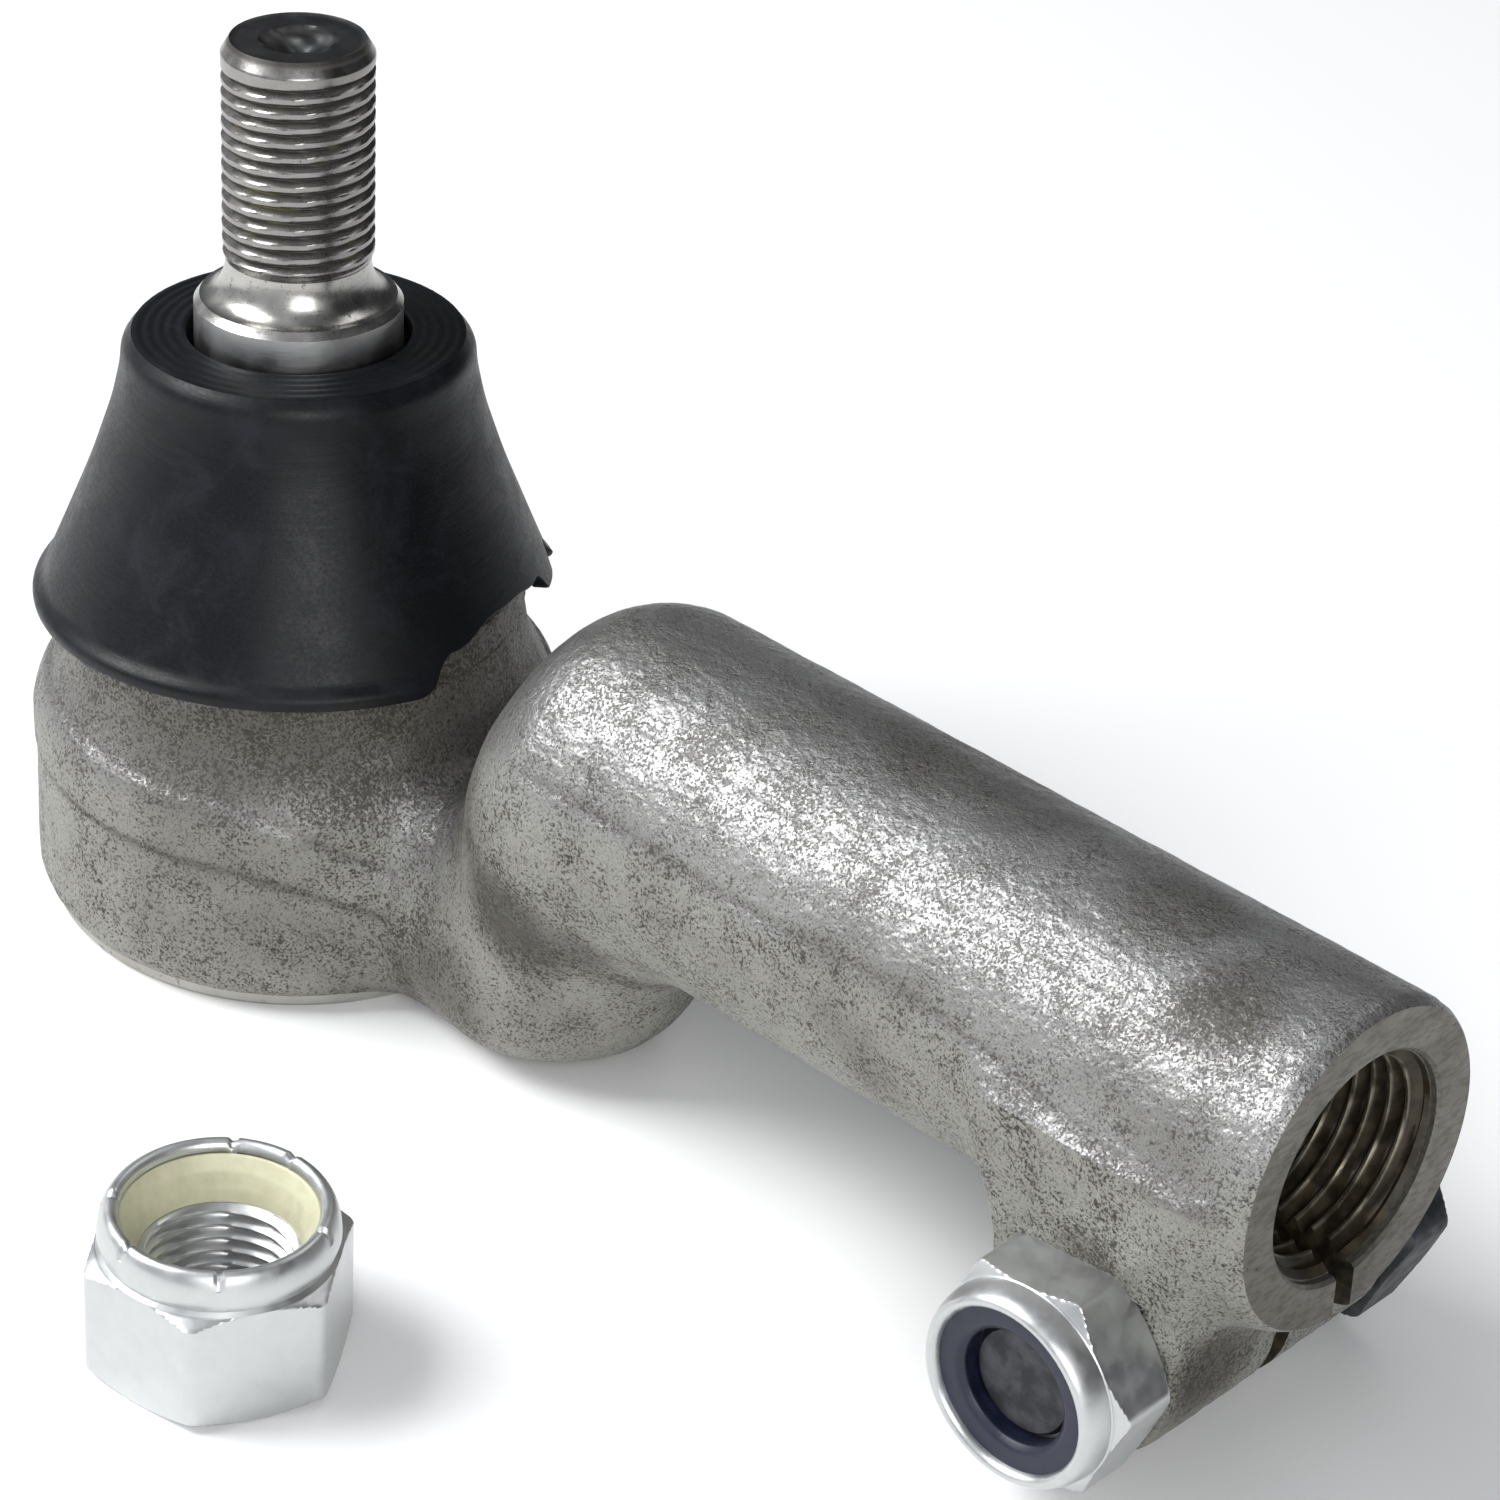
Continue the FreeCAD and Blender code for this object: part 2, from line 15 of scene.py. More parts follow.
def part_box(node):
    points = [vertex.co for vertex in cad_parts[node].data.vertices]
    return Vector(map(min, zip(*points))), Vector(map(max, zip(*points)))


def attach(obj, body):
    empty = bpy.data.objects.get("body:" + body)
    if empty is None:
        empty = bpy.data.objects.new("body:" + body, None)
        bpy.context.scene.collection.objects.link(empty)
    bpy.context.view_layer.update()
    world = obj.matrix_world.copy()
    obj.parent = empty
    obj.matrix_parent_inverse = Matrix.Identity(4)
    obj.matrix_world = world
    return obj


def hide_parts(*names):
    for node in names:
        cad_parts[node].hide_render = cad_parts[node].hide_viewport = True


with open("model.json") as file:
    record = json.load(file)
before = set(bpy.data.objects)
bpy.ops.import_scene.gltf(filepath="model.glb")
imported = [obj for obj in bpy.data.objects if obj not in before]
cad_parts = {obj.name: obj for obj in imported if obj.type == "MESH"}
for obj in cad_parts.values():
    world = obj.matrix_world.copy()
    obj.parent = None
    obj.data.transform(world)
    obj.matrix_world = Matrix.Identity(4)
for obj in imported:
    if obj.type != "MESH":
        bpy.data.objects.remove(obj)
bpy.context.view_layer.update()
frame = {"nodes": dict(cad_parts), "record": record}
MM = 0.001
RECORD = frame["record"]
MOUNT = {mount["name"]: mount for mount in RECORD["mounts"]}
JOINT = {joint["name"]: joint for joint in RECORD["behaviour"]["joints"]}


def corners(node):
    """Lowest and highest corner of a CAD node, in millimetres."""
    low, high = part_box(node)
    return np.array(low) / MM, np.array(high) / MM


# Driving sizes, from the frame --------
PIVOT = np.array(JOINT["stud_tilt_along"]["pos_m"]) / MM
LEAN = np.array(JOINT["stud_spin"]["axis"])
LEAN = LEAN / np.linalg.norm(LEAN)
HOUSING_LOW, HOUSING_HIGH = corners("housing")
HEAD_RAD = -HOUSING_LOW[0]
TUBE_END = HOUSING_HIGH[0]
TUBE_Z = MOUNT["rod_thread"]["pos_m"][2] / MM
TUBE_RAD = HOUSING_HIGH[2] - TUBE_Z
ROD_MINOR = MOUNT["rod_thread"]["dims"]["r_mm"]
ROD_MAJOR = ROD_MINOR + 1.6
THREAD_RAD = MOUNT["stud_thread"]["dims"]["r_mm"]
BOLT_LOW, BOLT_HIGH = corners("clamp_bolt")
LUG_X = 0.5 * (BOLT_LOW[0] + BOLT_HIGH[0])
LUG_Z = 0.5 * (BOLT_LOW[2] + BOLT_HIGH[2])
LUG_HALF = -corners("clamp_nut")[1][1]
NUT_LOW, NUT_HIGH = corners("stud_nut")
NUT_AT = 0.5 * (NUT_LOW + NUT_HIGH)

# Sizes of the CAD model that no box or mount of the frame gives --------
BALL_Z = PIVOT[2]
BALL_RAD = 16.0
NECK_RAD = 9.0
BAND_RAD = 13.7
RIM_Z = 87.3
STUD_TIP = 122.68
STUD_END_RAD = 8.85
THROAT_RAD = 9.5
BOOT_TOP = 82.3
BOOT_LOW = 43.7
BOOT_RAD = 35.4
BOOT_GRIP = 66.6
HEAD_TOP = 50.0
FOOT_RAD = 33.4
FOOT_HIGH = 2.4
ROD_DEPTH = 88.0
ROD_PITCH = 2.6
SLOT_START = 119.0
SLOT_WIDE = 3.4
LUG_RAD = 14.6
BOLT_RAD = 8.0
BOLT_LONG = 52.0
BOLT_FLATS = 30.0
PITCH = 2.0


# Mesh helpers --------
def grid_faces(rows, columns, wrap=True, flip=False):
    """Quads of a grid of points laid out row by row, closed round the columns if wrap."""
    row, column = np.meshgrid(np.arange(rows - 1),
                              np.arange(columns if wrap else columns - 1), indexing="ij")
    after = (column + 1) % columns
    quads = np.stack([row * columns + column, row * columns + after,
                      (row + 1) * columns + after, (row + 1) * columns + column], axis=-1)
    quads = quads.reshape(-1, 4)
    return quads[:, ::-1] if flip else quads


def make_mesh(name, points, faces, materials, slots=None, sharp=34.0):
    """Object from points in millimetres and one or more arrays of faces."""
    groups = faces if isinstance(faces, list) else [faces]
    widths = np.concatenate([np.full(len(g), g.shape[1], dtype=np.int32) for g in groups])
    loops = np.concatenate([g.ravel() for g in groups]).astype(np.int32)
    starts = np.concatenate([[0], np.cumsum(widths)[:-1]]).astype(np.int32)
    mesh = bpy.data.meshes.new(name)
    mesh.vertices.add(len(points))
    mesh.vertices.foreach_set("co", (points * MM).astype(np.float32).ravel())
    mesh.loops.add(len(loops))
    mesh.loops.foreach_set("vertex_index", loops)
    mesh.polygons.add(len(widths))
    mesh.polygons.foreach_set("loop_start", starts)
    mesh.update(calc_edges=True)
    for material in materials:
        mesh.materials.append(material)
    if slots is not None:
        mesh.polygons.foreach_set("material_index", np.asarray(slots, dtype=np.int32))
    mesh.validate()
    soften(mesh, sharp)
    return add_object(name, mesh)


def soften(mesh, sharp):
    """Smooth shading with edges sharper than the angle kept crisp."""
    mesh.shade_smooth()
    mesh.set_sharp_from_angle(angle=math.radians(sharp))


def loop_fan(first, columns, centre, flip=False):
    """Triangles from one ring of a grid to a centre point."""
    column = np.arange(columns)
    after = (column + 1) % columns
    tris = np.stack([first + column, first + after, np.full(columns, centre)], axis=-1)
    return tris[:, ::-1] if flip else tris


def looped_faces(rows, columns):
    """Quads of a grid closed round its columns and from its last row to its first."""
    return grid_faces(rows + 1, columns) % (rows * columns)


def spread(values, columns):
    """One number a row repeated for every column; a whole grid stays as it is."""
    values = np.asarray(values, dtype=float)
    return values if values.ndim == 2 else np.repeat(values[:, None], columns, axis=1)


def column_angles(columns):
    """Angle of each column of a turned surface, in radians."""
    return np.arange(columns) * 2.0 * math.pi / columns


def turned_points(radius, height, columns):
    """Grid of points of a turned surface: both may be one number a row or one a point."""
    angle = column_angles(columns)
    radius = spread(radius, columns)
    return np.stack([radius * np.cos(angle), radius * np.sin(angle), spread(height, columns)],
                    axis=-1)


def stacked(blocks, columns):
    """Grid of points of a turned surface from blocks of rows, each a radius and a height."""
    radius = np.concatenate([spread(block[0], columns) for block in blocks])
    height = np.concatenate([spread(block[1], columns) for block in blocks])
    return turned_points(radius, height, columns)


def capped(grid, first_z, last_z, rising=True):
    """Points and faces of a turned grid closed by fans to two points on its axis."""
    rows, columns = grid.shape[:2]
    tips = [[0.0, 0.0, first_z], [0.0, 0.0, last_z]]
    faces = [grid_faces(rows, columns, flip=not rising),
             loop_fan(0, columns, rows * columns, flip=rising),
             loop_fan((rows - 1) * columns, columns, rows * columns + 1, flip=not rising)]
    return np.concatenate([grid.reshape(-1, 3), tips]), faces


def placed(points, turn, origin):
    """Points turned about the origin and then moved to their place."""
    return points @ turn.T + np.array(origin)


def add_object(name, data):
    """New object of a mesh, lamp or camera in the scene."""
    obj = bpy.data.objects.new(name, data)
    bpy.context.scene.collection.objects.link(obj)
    return obj


def add_layer(obj, name, values):
    """Number at each point of a mesh, for its material to read."""
    layer = obj.data.attributes.new(name, "FLOAT", "POINT")
    layer.data.foreach_set("value", values.astype(np.float32))


def spin_axis_to(direction):
    """Rotation that takes +Z to a direction by the shortest way."""
    return np.array(Vector((0, 0, 1)).rotation_difference(Vector(direction)).to_matrix())


LEAN_TURN = spin_axis_to(LEAN)


def leaned(points):
    """Upright points of the stud or boot, turned about the ball centre."""
    return (points - PIVOT) @ LEAN_TURN.T + PIVOT


def fine_path(points, step):
    """Points along a broken line, no further apart than the step."""
    points = np.array(points, dtype=float)
    path = [points[0]]
    for start, stop in zip(points[:-1], points[1:]):
        count = max(1, math.ceil(np.linalg.norm(stop - start) / step))
        path += [start + (stop - start) * k / count for k in range(1, count + 1)]
    return np.array(path)


def rounded_path(points, reach):
    """Broken line with each inner corner replaced by a small curve of the given reach."""
    points = np.array(points, dtype=float)
    path = [points[0]]
    for before, corner, after in zip(points[:-2], points[1:-1], points[2:]):
        back = before - corner
        ahead = after - corner
        span = min(reach, 0.45 * np.linalg.norm(back), 0.45 * np.linalg.norm(ahead))
        start = corner + back / np.linalg.norm(back) * span
        stop = corner + ahead / np.linalg.norm(ahead) * span
        path += [(1 - part) ** 2 * start + 2 * part * (1 - part) * corner + part ** 2 * stop
                 for part in np.linspace(0.0, 1.0, 5)]
    path.append(points[-1])
    return np.array(path)


def smooth_step(value, low, high):
    """0 below low, 1 above high, smooth between."""
    part = np.clip((value - low) / (high - low), 0.0, 1.0)
    return part * part * (3.0 - 2.0 * part)


def waves(points, scale, seed, count=7):
    """Smooth pseudo-random field between about -1 and 1, with features of the given size."""
    random = np.random.default_rng(seed)
    total = np.zeros(points.shape[:-1])
    for _ in range(count):
        direction = random.normal(size=3)
        direction = direction / np.linalg.norm(direction)
        length = scale * random.uniform(0.7, 1.5)
        phase = random.uniform(0.0, 2.0 * math.pi)
        total += np.sin(points @ direction * (2.0 * math.pi / length) + phase)
    return total / count * 1.6


def thread_shape(heights, pitch, columns, crest, root):
    """Height of a 60 degree thread at each row and column: 0 in the root, 1 on the crest."""
    turns = heights[:, None] / pitch - np.arange(columns)[None, :] / columns
    phase = np.abs((turns % 1.0) - 0.5) * 2.0
    height = (phase - root) / (1.0 - root - crest)
    return np.clip(height, 0.0, 1.0)


# Materials --------
def set_range(node, low, high, from_value, to_value):
    """Make a Map Range node go smoothly from one value to another between low and high."""
    node.interpolation_type = "SMOOTHSTEP"
    for name, number in (("From Min", low), ("From Max", high), ("To Min", from_value),
                         ("To Max", to_value)):
        node.inputs[name].default_value = number


class Shader:
    """Small builder for one procedural material, with coordinates in millimetres."""

    def __init__(self, name):
        self.material = bpy.data.materials.new(name)
        self.material.use_nodes = True
        self.tree = self.material.node_tree
        self.surface = self.tree.nodes["Principled BSDF"]
        place = self.node("TexCoord")
        scale = self.node("VectorMath")
        scale.operation = "SCALE"
        scale.inputs["Scale"].default_value = 1.0 / MM
        self.link(place.outputs["Object"], scale.inputs[0])
        self.place = scale.outputs[0]

    def node(self, kind):
        return self.tree.nodes.new("ShaderNode" + kind)

    def link(self, value, socket):
        self.tree.links.new(value, socket)

    def feed(self, socket, value):
        if isinstance(value, bpy.types.NodeSocket):
            self.link(value, socket)
        elif socket.type == "RGBA":
            socket.default_value = (*value, 1.0)
        else:
            socket.default_value = value

    def noise(self, size, detail, rough=0.55, stretch=None, warp=0.0):
        node = self.node("TexNoise")
        node.inputs["Scale"].default_value = 1.0 / size
        node.inputs["Detail"].default_value = detail
        node.inputs["Roughness"].default_value = rough
        node.inputs["Distortion"].default_value = warp
        self.link(self.stretched(stretch), node.inputs["Vector"])
        return node.outputs["Fac"]

    def stretched(self, stretch):
        if stretch is None:
            return self.place
        node = self.node("VectorMath")
        node.operation = "MULTIPLY"
        node.inputs[1].default_value = stretch
        self.link(self.place, node.inputs[0])
        return node.outputs[0]

    def ramp(self, value, low, high, from_value=0.0, to_value=1.0):
        node = self.node("MapRange")
        self.feed(node.inputs["Value"], value)
        set_range(node, low, high, from_value, to_value)
        return node.outputs["Result"]

    def math(self, operation, first, second=0.0):
        node = self.node("Math")
        node.operation = operation
        self.feed(node.inputs[0], first)
        self.feed(node.inputs[1], second)
        return node.outputs[0]

    def mix(self, part, first, second):
        node = self.node("Mix")
        node.data_type = "RGBA"
        for index, value in ((0, part), (6, first), (7, second)):
            self.feed(node.inputs[index], value)
        return node.outputs[2]

    def axis(self, index):
        node = self.node("SeparateXYZ")
        self.link(self.place, node.inputs[0])
        return node.outputs[index]

    def layer(self, name):
        node = self.node("Attribute")
        node.attribute_name = name
        return node.outputs["Fac"]

    def upward(self):
        geometry = self.node("NewGeometry")
        split = self.node("SeparateXYZ")
        self.link(geometry.outputs["Normal"], split.inputs[0])
        return split.outputs["Z"]

    def bump(self, height, distance, strength, under=None):
        node = self.node("Bump")
        node.inputs["Strength"].default_value = strength
        node.inputs["Distance"].default_value = distance * MM
        self.link(height, node.inputs["Height"])
        if under is not None:
            self.link(under, node.inputs["Normal"])
        return node.outputs["Normal"]

    def finish(self, colour, roughness, metallic=0.0, normal=None):
        self.feed(self.surface.inputs["Base Color"], colour)
        self.feed(self.surface.inputs["Roughness"], roughness)
        self.feed(self.surface.inputs["Metallic"], metallic)
        if normal is not None:
            self.link(normal, self.surface.inputs["Normal"])
        return self.material

    def scale(self, mask, start, stop):
        """A number that goes from start to stop with a mask."""
        return self.ramp(mask, 0.0, 1.0, start, stop)

    def follow(self, cloud, low, high):
        """A number that goes from low to high through the middle of a noise."""
        return self.ramp(cloud, 0.3, 0.7, low, high)

    def patches(self, cloud, dark, light):
        """Two colours in patches that a noise sets."""
        return self.mix(self.ramp(cloud, 0.35, 0.7), dark, light)

    def flecks(self, base, colour, low, high, *noise):
        """A colour with flecks of another where a noise runs high."""
        return self.mix(self.ramp(self.noise(*noise), low, high), base, colour)


def forged_steel():
    """Shot-blasted forging: grey with dark pits, browner in the recesses from brown staining with
    painted shade, and painted light that makes faces looking up lighter.
    """
    s = Shader("forged_steel")
    blotch = s.noise(12.0, 3.0)
    # painted light: faces that look up get a lighter base, lighter pits and more metal
    lit = s.ramp(s.upward(), 0.0, 0.75)
    # recess layer: brown staining, painted shade in pockets and the painted shadow of the boot
    shade = s.layer("recess")
    spread = s.math("MULTIPLY", s.math("SUBTRACT", s.noise(7.0, 4.0, 0.6), 0.5), 0.34)
    # more dark pits where the painted shade and staining lie
    cover = s.math("SUBTRACT", spread, s.math("MULTIPLY", shade, 0.07))
    small = s.ramp(s.math("ADD", s.noise(0.38, 3.0, 0.6), cover), 0.33, 0.50)
    large = s.ramp(s.math("ADD", s.noise(0.85, 3.0, 0.6), cover), 0.28, 0.44)
    pits = s.math("MULTIPLY", small, large)
    fine = s.ramp(s.noise(0.26, 2.0, 0.5), 0.30, 0.52)
    base = s.mix(blotch, (0.225, 0.222, 0.198), (0.325, 0.322, 0.292))
    # painted light: lighter copy of the base for faces that look up
    bright = s.mix(blotch, (0.25, 0.25, 0.248), (0.37, 0.37, 0.37))
    base = s.mix(lit, base, bright)
    base = s.mix(fine, s.mix(0.45, base, (0.07, 0.062, 0.048)), base)
    base = s.mix(pits, s.mix(lit, (0.040, 0.036, 0.026), (0.130, 0.125, 0.116)), base)
    dull = s.ramp(s.noise(26.0, 3.0, 0.5), 0.48, 0.68)
    base = s.mix(s.math("MULTIPLY", dull, 0.35), base, (0.085, 0.078, 0.064))
    # brown from the recess layer, so it also paints shade and the boot's shadow
    brown = s.math("MULTIPLY", shade, s.ramp(s.noise(3.5, 4.0), 0.30, 0.62, 0.68, 0.96))
    base = s.mix(brown, base, (0.034, 0.027, 0.017))
    rough = s.math("ADD", s.scale(pits, 0.10, 0.0), s.scale(lit, 0.50, 0.43))
    metal = s.math("MULTIPLY", s.scale(lit, 0.35, 0.82), s.ramp(brown, 0.2, 0.9, 1.0, 0.4))
    peel = s.bump(s.noise(1.25, 2.0, 0.5), 0.34, 0.75)
    wide = s.bump(s.noise(4.2, 2.0, 0.5), 0.45, 0.5, peel)
    sunk = s.bump(pits, 0.08, 0.6, wide)
    return s.finish(base, rough, metal, sunk)


def cut_steel():
    """Machined faces of the forging: fine turning lines, warm light grey, a little oil."""
    s = Shader("cut_steel")
    cloud = s.noise(6.0, 4.0)
    lines = s.noise(0.35, 2.0, 0.5, (0.15, 1.0, 1.0))
    base = s.mix(cloud, (0.33, 0.325, 0.29), (0.47, 0.465, 0.435))
    base = s.flecks(base, (0.16, 0.135, 0.09), 0.60, 0.75, 1.6, 3.0)
    rough = s.follow(cloud, 0.50, 0.36)
    scuff = s.bump(s.noise(1.1, 4.0, 0.6), 0.10, 0.5)
    return s.finish(base, rough, 0.80, s.bump(lines, 0.05, 0.6, scuff))


def rod_thread_steel():
    """Thread of the rod socket: light brown-grey crests and near-black brown roots, set by depth
    in the thread.
    """
    s = Shader("rod_thread_steel")
    cloud = s.noise(3.0, 4.0)
    side = s.axis(1)
    rise = s.math("SUBTRACT", s.axis(2), TUBE_Z)
    reach = s.math("SQRT", s.math("ADD", s.math("MULTIPLY", side, side),
                                  s.math("MULTIPLY", rise, rise)))
    # colour set by depth in the thread: light crests, near-black roots
    crest = s.ramp(reach, ROD_MINOR + 0.34, ROD_MINOR + 0.03)
    root = s.patches(cloud, (0.020, 0.015, 0.009), (0.062, 0.048, 0.027))
    worn = s.patches(cloud, (0.15, 0.13, 0.095), (0.34, 0.31, 0.25))
    rough = s.follow(cloud, 0.34, 0.5)
    return s.finish(s.mix(crest, root, worn), rough, s.scale(crest, 0.35, 0.85),
                    s.bump(s.noise(0.5, 3.0), 0.03, 0.6))


def sawn_steel():
    """Walls of the sawn slot, near black as painted shade in the narrow slit."""
    s = Shader("sawn_steel")
    cloud = s.noise(2.0, 4.0)
    lines = s.noise(0.5, 3.0, 0.6, (1.0, 1.0, 0.15))
    # painted shade: near-black patches so the slit reads dark
    base = s.patches(cloud, (0.014, 0.011, 0.007), (0.055, 0.043, 0.026))
    return s.finish(base, s.follow(cloud, 0.40, 0.6), 0.4, s.bump(lines, 0.08, 0.7))


def faced_steel():
    """Sawn and faced end of the rod socket: dull warm grey with fine lines and stains."""
    s = Shader("faced_steel")
    cloud = s.noise(6.0, 4.0)
    lines = s.noise(0.5, 4.0, 0.6, (1.0, 0.25, 0.8))
    base = s.mix(cloud, (0.125, 0.118, 0.098), (0.225, 0.215, 0.190))
    base = s.mix(s.ramp(lines, 0.35, 0.60), s.mix(0.45, base, (0.05, 0.043, 0.032)), base)
    base = s.flecks(base, (0.060, 0.046, 0.028), 0.62, 0.74, 1.3, 4.0, 0.65)
    rough = s.follow(cloud, 0.52, 0.40)
    return s.finish(base, rough, 0.72, s.bump(lines, 0.06, 0.6))


def bare_steel(name, dark, light, rough_low, rough_high, oil, grain=0.4, turn=(0.1, 0.1, 1.0)):
    """Turned or ground steel with faint tool lines and dark oil specks."""
    s = Shader(name)
    cloud = s.noise(4.0, 4.0)
    base = s.mix(cloud, dark, light)
    specks = s.ramp(s.noise(0.9, 5.0, 0.7), 0.66 - 0.12 * oil, 0.74)
    base = s.mix(specks, base, (0.045, 0.042, 0.03))
    rough = s.math("ADD", s.follow(cloud, rough_low, rough_high), s.scale(specks, 0.0, 0.15))
    lines = s.noise(grain, 2.0, 0.5, turn)
    return s.finish(base, rough, 1.0, s.bump(lines, 0.03, 0.5))


def thread_steel():
    """Stud thread: bright flanks, dark oil and a yellow-green trace down in the roots."""
    s = Shader("thread_steel")
    cloud = s.noise(2.4, 4.0)
    root = s.layer("root")
    base = s.mix(cloud, (0.20, 0.195, 0.185), (0.36, 0.35, 0.335))
    patch = s.ramp(s.noise(6.5, 2.0), 0.58, 0.68)
    grease = s.ramp(root, 0.35, 0.80, 0.0, 0.9)
    base = s.mix(grease, base, s.mix(patch, (0.030, 0.027, 0.021), (0.11, 0.10, 0.04)))
    base = s.flecks(base, (0.05, 0.04, 0.025), 0.66, 0.74, 1.2, 4.0, 0.7)
    rough = s.math("ADD", s.follow(cloud, 0.20, 0.33), s.scale(grease, 0.0, 0.15))
    metal = s.scale(grease, 1.0, 0.45)
    return s.finish(base, rough, metal, s.bump(s.noise(0.3, 3.0), 0.02, 0.5))


def boot_rubber():
    """Satin black rubber with turned mould lines, dusty scuffs and a faint blue cast."""
    s = Shader("boot_rubber")
    dust = s.noise(7.0, 5.0, 0.62, warp=0.6)
    scratch = s.ramp(s.noise(2.0, 6.0, 0.75, (0.25, 0.25, 1.6)), 0.62, 0.76)
    base = s.mix(s.ramp(dust, 0.45, 0.75), (0.0030, 0.0034, 0.0052), (0.0085, 0.0095, 0.0140))
    base = s.mix(s.math("MULTIPLY", scratch, 0.25), base, (0.045, 0.048, 0.056))
    rough = s.math("ADD", s.ramp(dust, 0.3, 0.75, 0.36, 0.50),
                   s.ramp(s.noise(0.5, 3.0), 0.3, 0.7, -0.04, 0.06))
    s.surface.inputs["Specular IOR Level"].default_value = 0.24
    rings = s.bump(s.noise(0.9, 3.0, 0.6, (0.12, 0.12, 1.0)), 0.10, 0.5)
    return s.finish(base, rough, 0.0, s.bump(s.noise(0.35, 2.0), 0.03, 0.45, rings))


def grease():
    """Yellow-green grease that has been squeezed out under the boot."""
    s = Shader("grease")
    cloud = s.noise(1.6, 4.0)
    base = s.mix(s.ramp(cloud, 0.35, 0.65), (0.014, 0.012, 0.006), (0.070, 0.058, 0.012))
    return s.finish(base, s.follow(cloud, 0.12, 0.3), 0.0,
                    s.bump(s.noise(0.8, 3.0), 0.25, 0.8))


def zinc_plate():
    """Bright zinc: soft blotches, fine scratches, slightly warm."""
    s = Shader("zinc_plate")
    cloud = s.noise(3.2, 4.0, 0.6)
    base = s.mix(cloud, (0.50, 0.515, 0.515), (0.66, 0.675, 0.675))
    base = s.flecks(base, (0.42, 0.42, 0.40), 0.68, 0.78, 0.9, 5.0, 0.75)
    rough = s.follow(cloud, 0.30, 0.44)
    fine = s.bump(s.noise(0.5, 3.0), 0.012, 0.6)
    return s.finish(base, rough, 0.92, s.bump(s.noise(5.0, 2.0), 0.05, 0.4, fine))


def dark_steel():
    """Blackened bolt steel with worn, lighter patches."""
    s = Shader("dark_steel")
    cloud = s.noise(3.0, 4.0)
    base = s.patches(cloud, (0.022, 0.023, 0.026), (0.060, 0.063, 0.072))
    rough = s.follow(cloud, 0.50, 0.40)
    return s.finish(base, rough, 0.55, s.bump(s.noise(0.8, 4.0), 0.05, 0.6))


def nylon(name, dark, light):
    """Moulded nylon of a lock nut's ring."""
    s = Shader(name)
    cloud = s.noise(2.0, 3.0)
    return s.finish(s.mix(cloud, dark, light), s.follow(cloud, 0.36, 0.5), 0.0,
                    s.bump(s.noise(0.5, 3.0), 0.05, 0.5))


FORGED = forged_steel()
CUT = cut_steel()
ROD_THREAD = rod_thread_steel()
SLOT_SHADE = sawn_steel()
FACED = faced_steel()
GROUND = bare_steel("ground_steel", (0.34, 0.335, 0.315), (0.50, 0.49, 0.465), 0.20, 0.32, 0.9)
BAND = bare_steel("band_steel", (0.36, 0.36, 0.36), (0.48, 0.48, 0.48), 0.30, 0.42, 0.3)
END = bare_steel("end_steel", (0.055, 0.055, 0.056), (0.115, 0.115, 0.115), 0.36, 0.5, 0.9, 1.2,
                 (1.0, 1.0, 0.2))
THREAD = thread_steel()
RUBBER = boot_rubber()
GREASE = grease()
ZINC = zinc_plate()
DARK = dark_steel()
NAVY = nylon("navy_nylon", (0.004, 0.0055, 0.017), (0.012, 0.015, 0.038))
IVORY = nylon("ivory_nylon", (0.50, 0.48, 0.30), (0.70, 0.69, 0.53))
LINER = nylon("liner_polymer", (0.50, 0.48, 0.40), (0.62, 0.60, 0.52))
SEAT = nylon("seat_polymer", (0.40, 0.38, 0.33), (0.52, 0.50, 0.45))
SEAL = nylon("seal_rubber", (0.012, 0.012, 0.012), (0.03, 0.03, 0.03))
SPRING = bare_steel("spring_steel", (0.14, 0.14, 0.145), (0.24, 0.24, 0.25), 0.30, 0.42, 0.4)
PLATE = bare_steel("plate_steel", (0.34, 0.34, 0.33), (0.48, 0.48, 0.47), 0.34, 0.48, 0.6)


# Housing --------
STEP = 0.84
RING_COLUMNS = 160
ALONG_X = np.array([[0.0, 0.0, 1.0], [0.0, 1.0, 0.0], [-1.0, 0.0, 0.0]])
ALONG_Y = np.array([[1.0, 0.0, 0.0], [0.0, 0.0, 1.0], [0.0, -1.0, 0.0]])


def blend_union(first, second, reach):
    """Smooth union of two distance fields with a fillet of about the given reach."""
    part = np.clip(0.5 + 0.5 * (second - first) / reach, 0.0, 1.0)
    return second + (first - second) * part - reach * part * (1.0 - part)


def blend_cut(first, second, reach):
    """Smooth intersection of two distance fields."""
    return -blend_union(-first, -second, reach)


def head_field(x, y, z):
    """Round head: cylinder drawn in under the boot, with a rounded edge above the turned foot."""
    across = np.hypot(x, y)
    wall = (HEAD_RAD - 0.35 - 4.6 * smooth_step(z, 27.5, 40.0) - 1.6 * smooth_step(z, 38.0, 50.0))
    body = (across - wall) * 0.94
    slope = (across - 34.7) * 0.64 - (z - FOOT_HIGH) * 0.77
    body = blend_cut(body, slope, 2.2)
    foot = np.maximum(across - (FOOT_RAD + 0.5), z - 4.0)
    return np.maximum(np.minimum(body, foot), z - (HEAD_TOP - 0.1))


def tube_field(x, y, z):
    """Rod socket: cylinder along X with a rounded closed end."""
    corner = 16.0
    start = 49.4
    across = np.hypot(y, z - TUBE_Z)
    out = np.maximum(across - (TUBE_RAD - corner), 0.0)
    back = np.maximum(start + corner - x, 0.0)
    return np.hypot(out, back) - corner


def knuckle_field(x, y, z):
    """Post under the closed end: leans out as it rises, rounded at its foot."""
    middle = 50.6 + (np.clip(z, 6.0, 46.0) - 6.0) * 0.27
    radius = 18.0
    corner = 9.5
    across = np.hypot(x - middle, y * 1.04)
    out = np.maximum(across - (radius - corner), 0.0)
    down = np.maximum(2.2 + corner - z, 0.0)
    up = np.maximum(z - 40.0, 0.0)
    return np.hypot(np.hypot(out, down), up) - corner


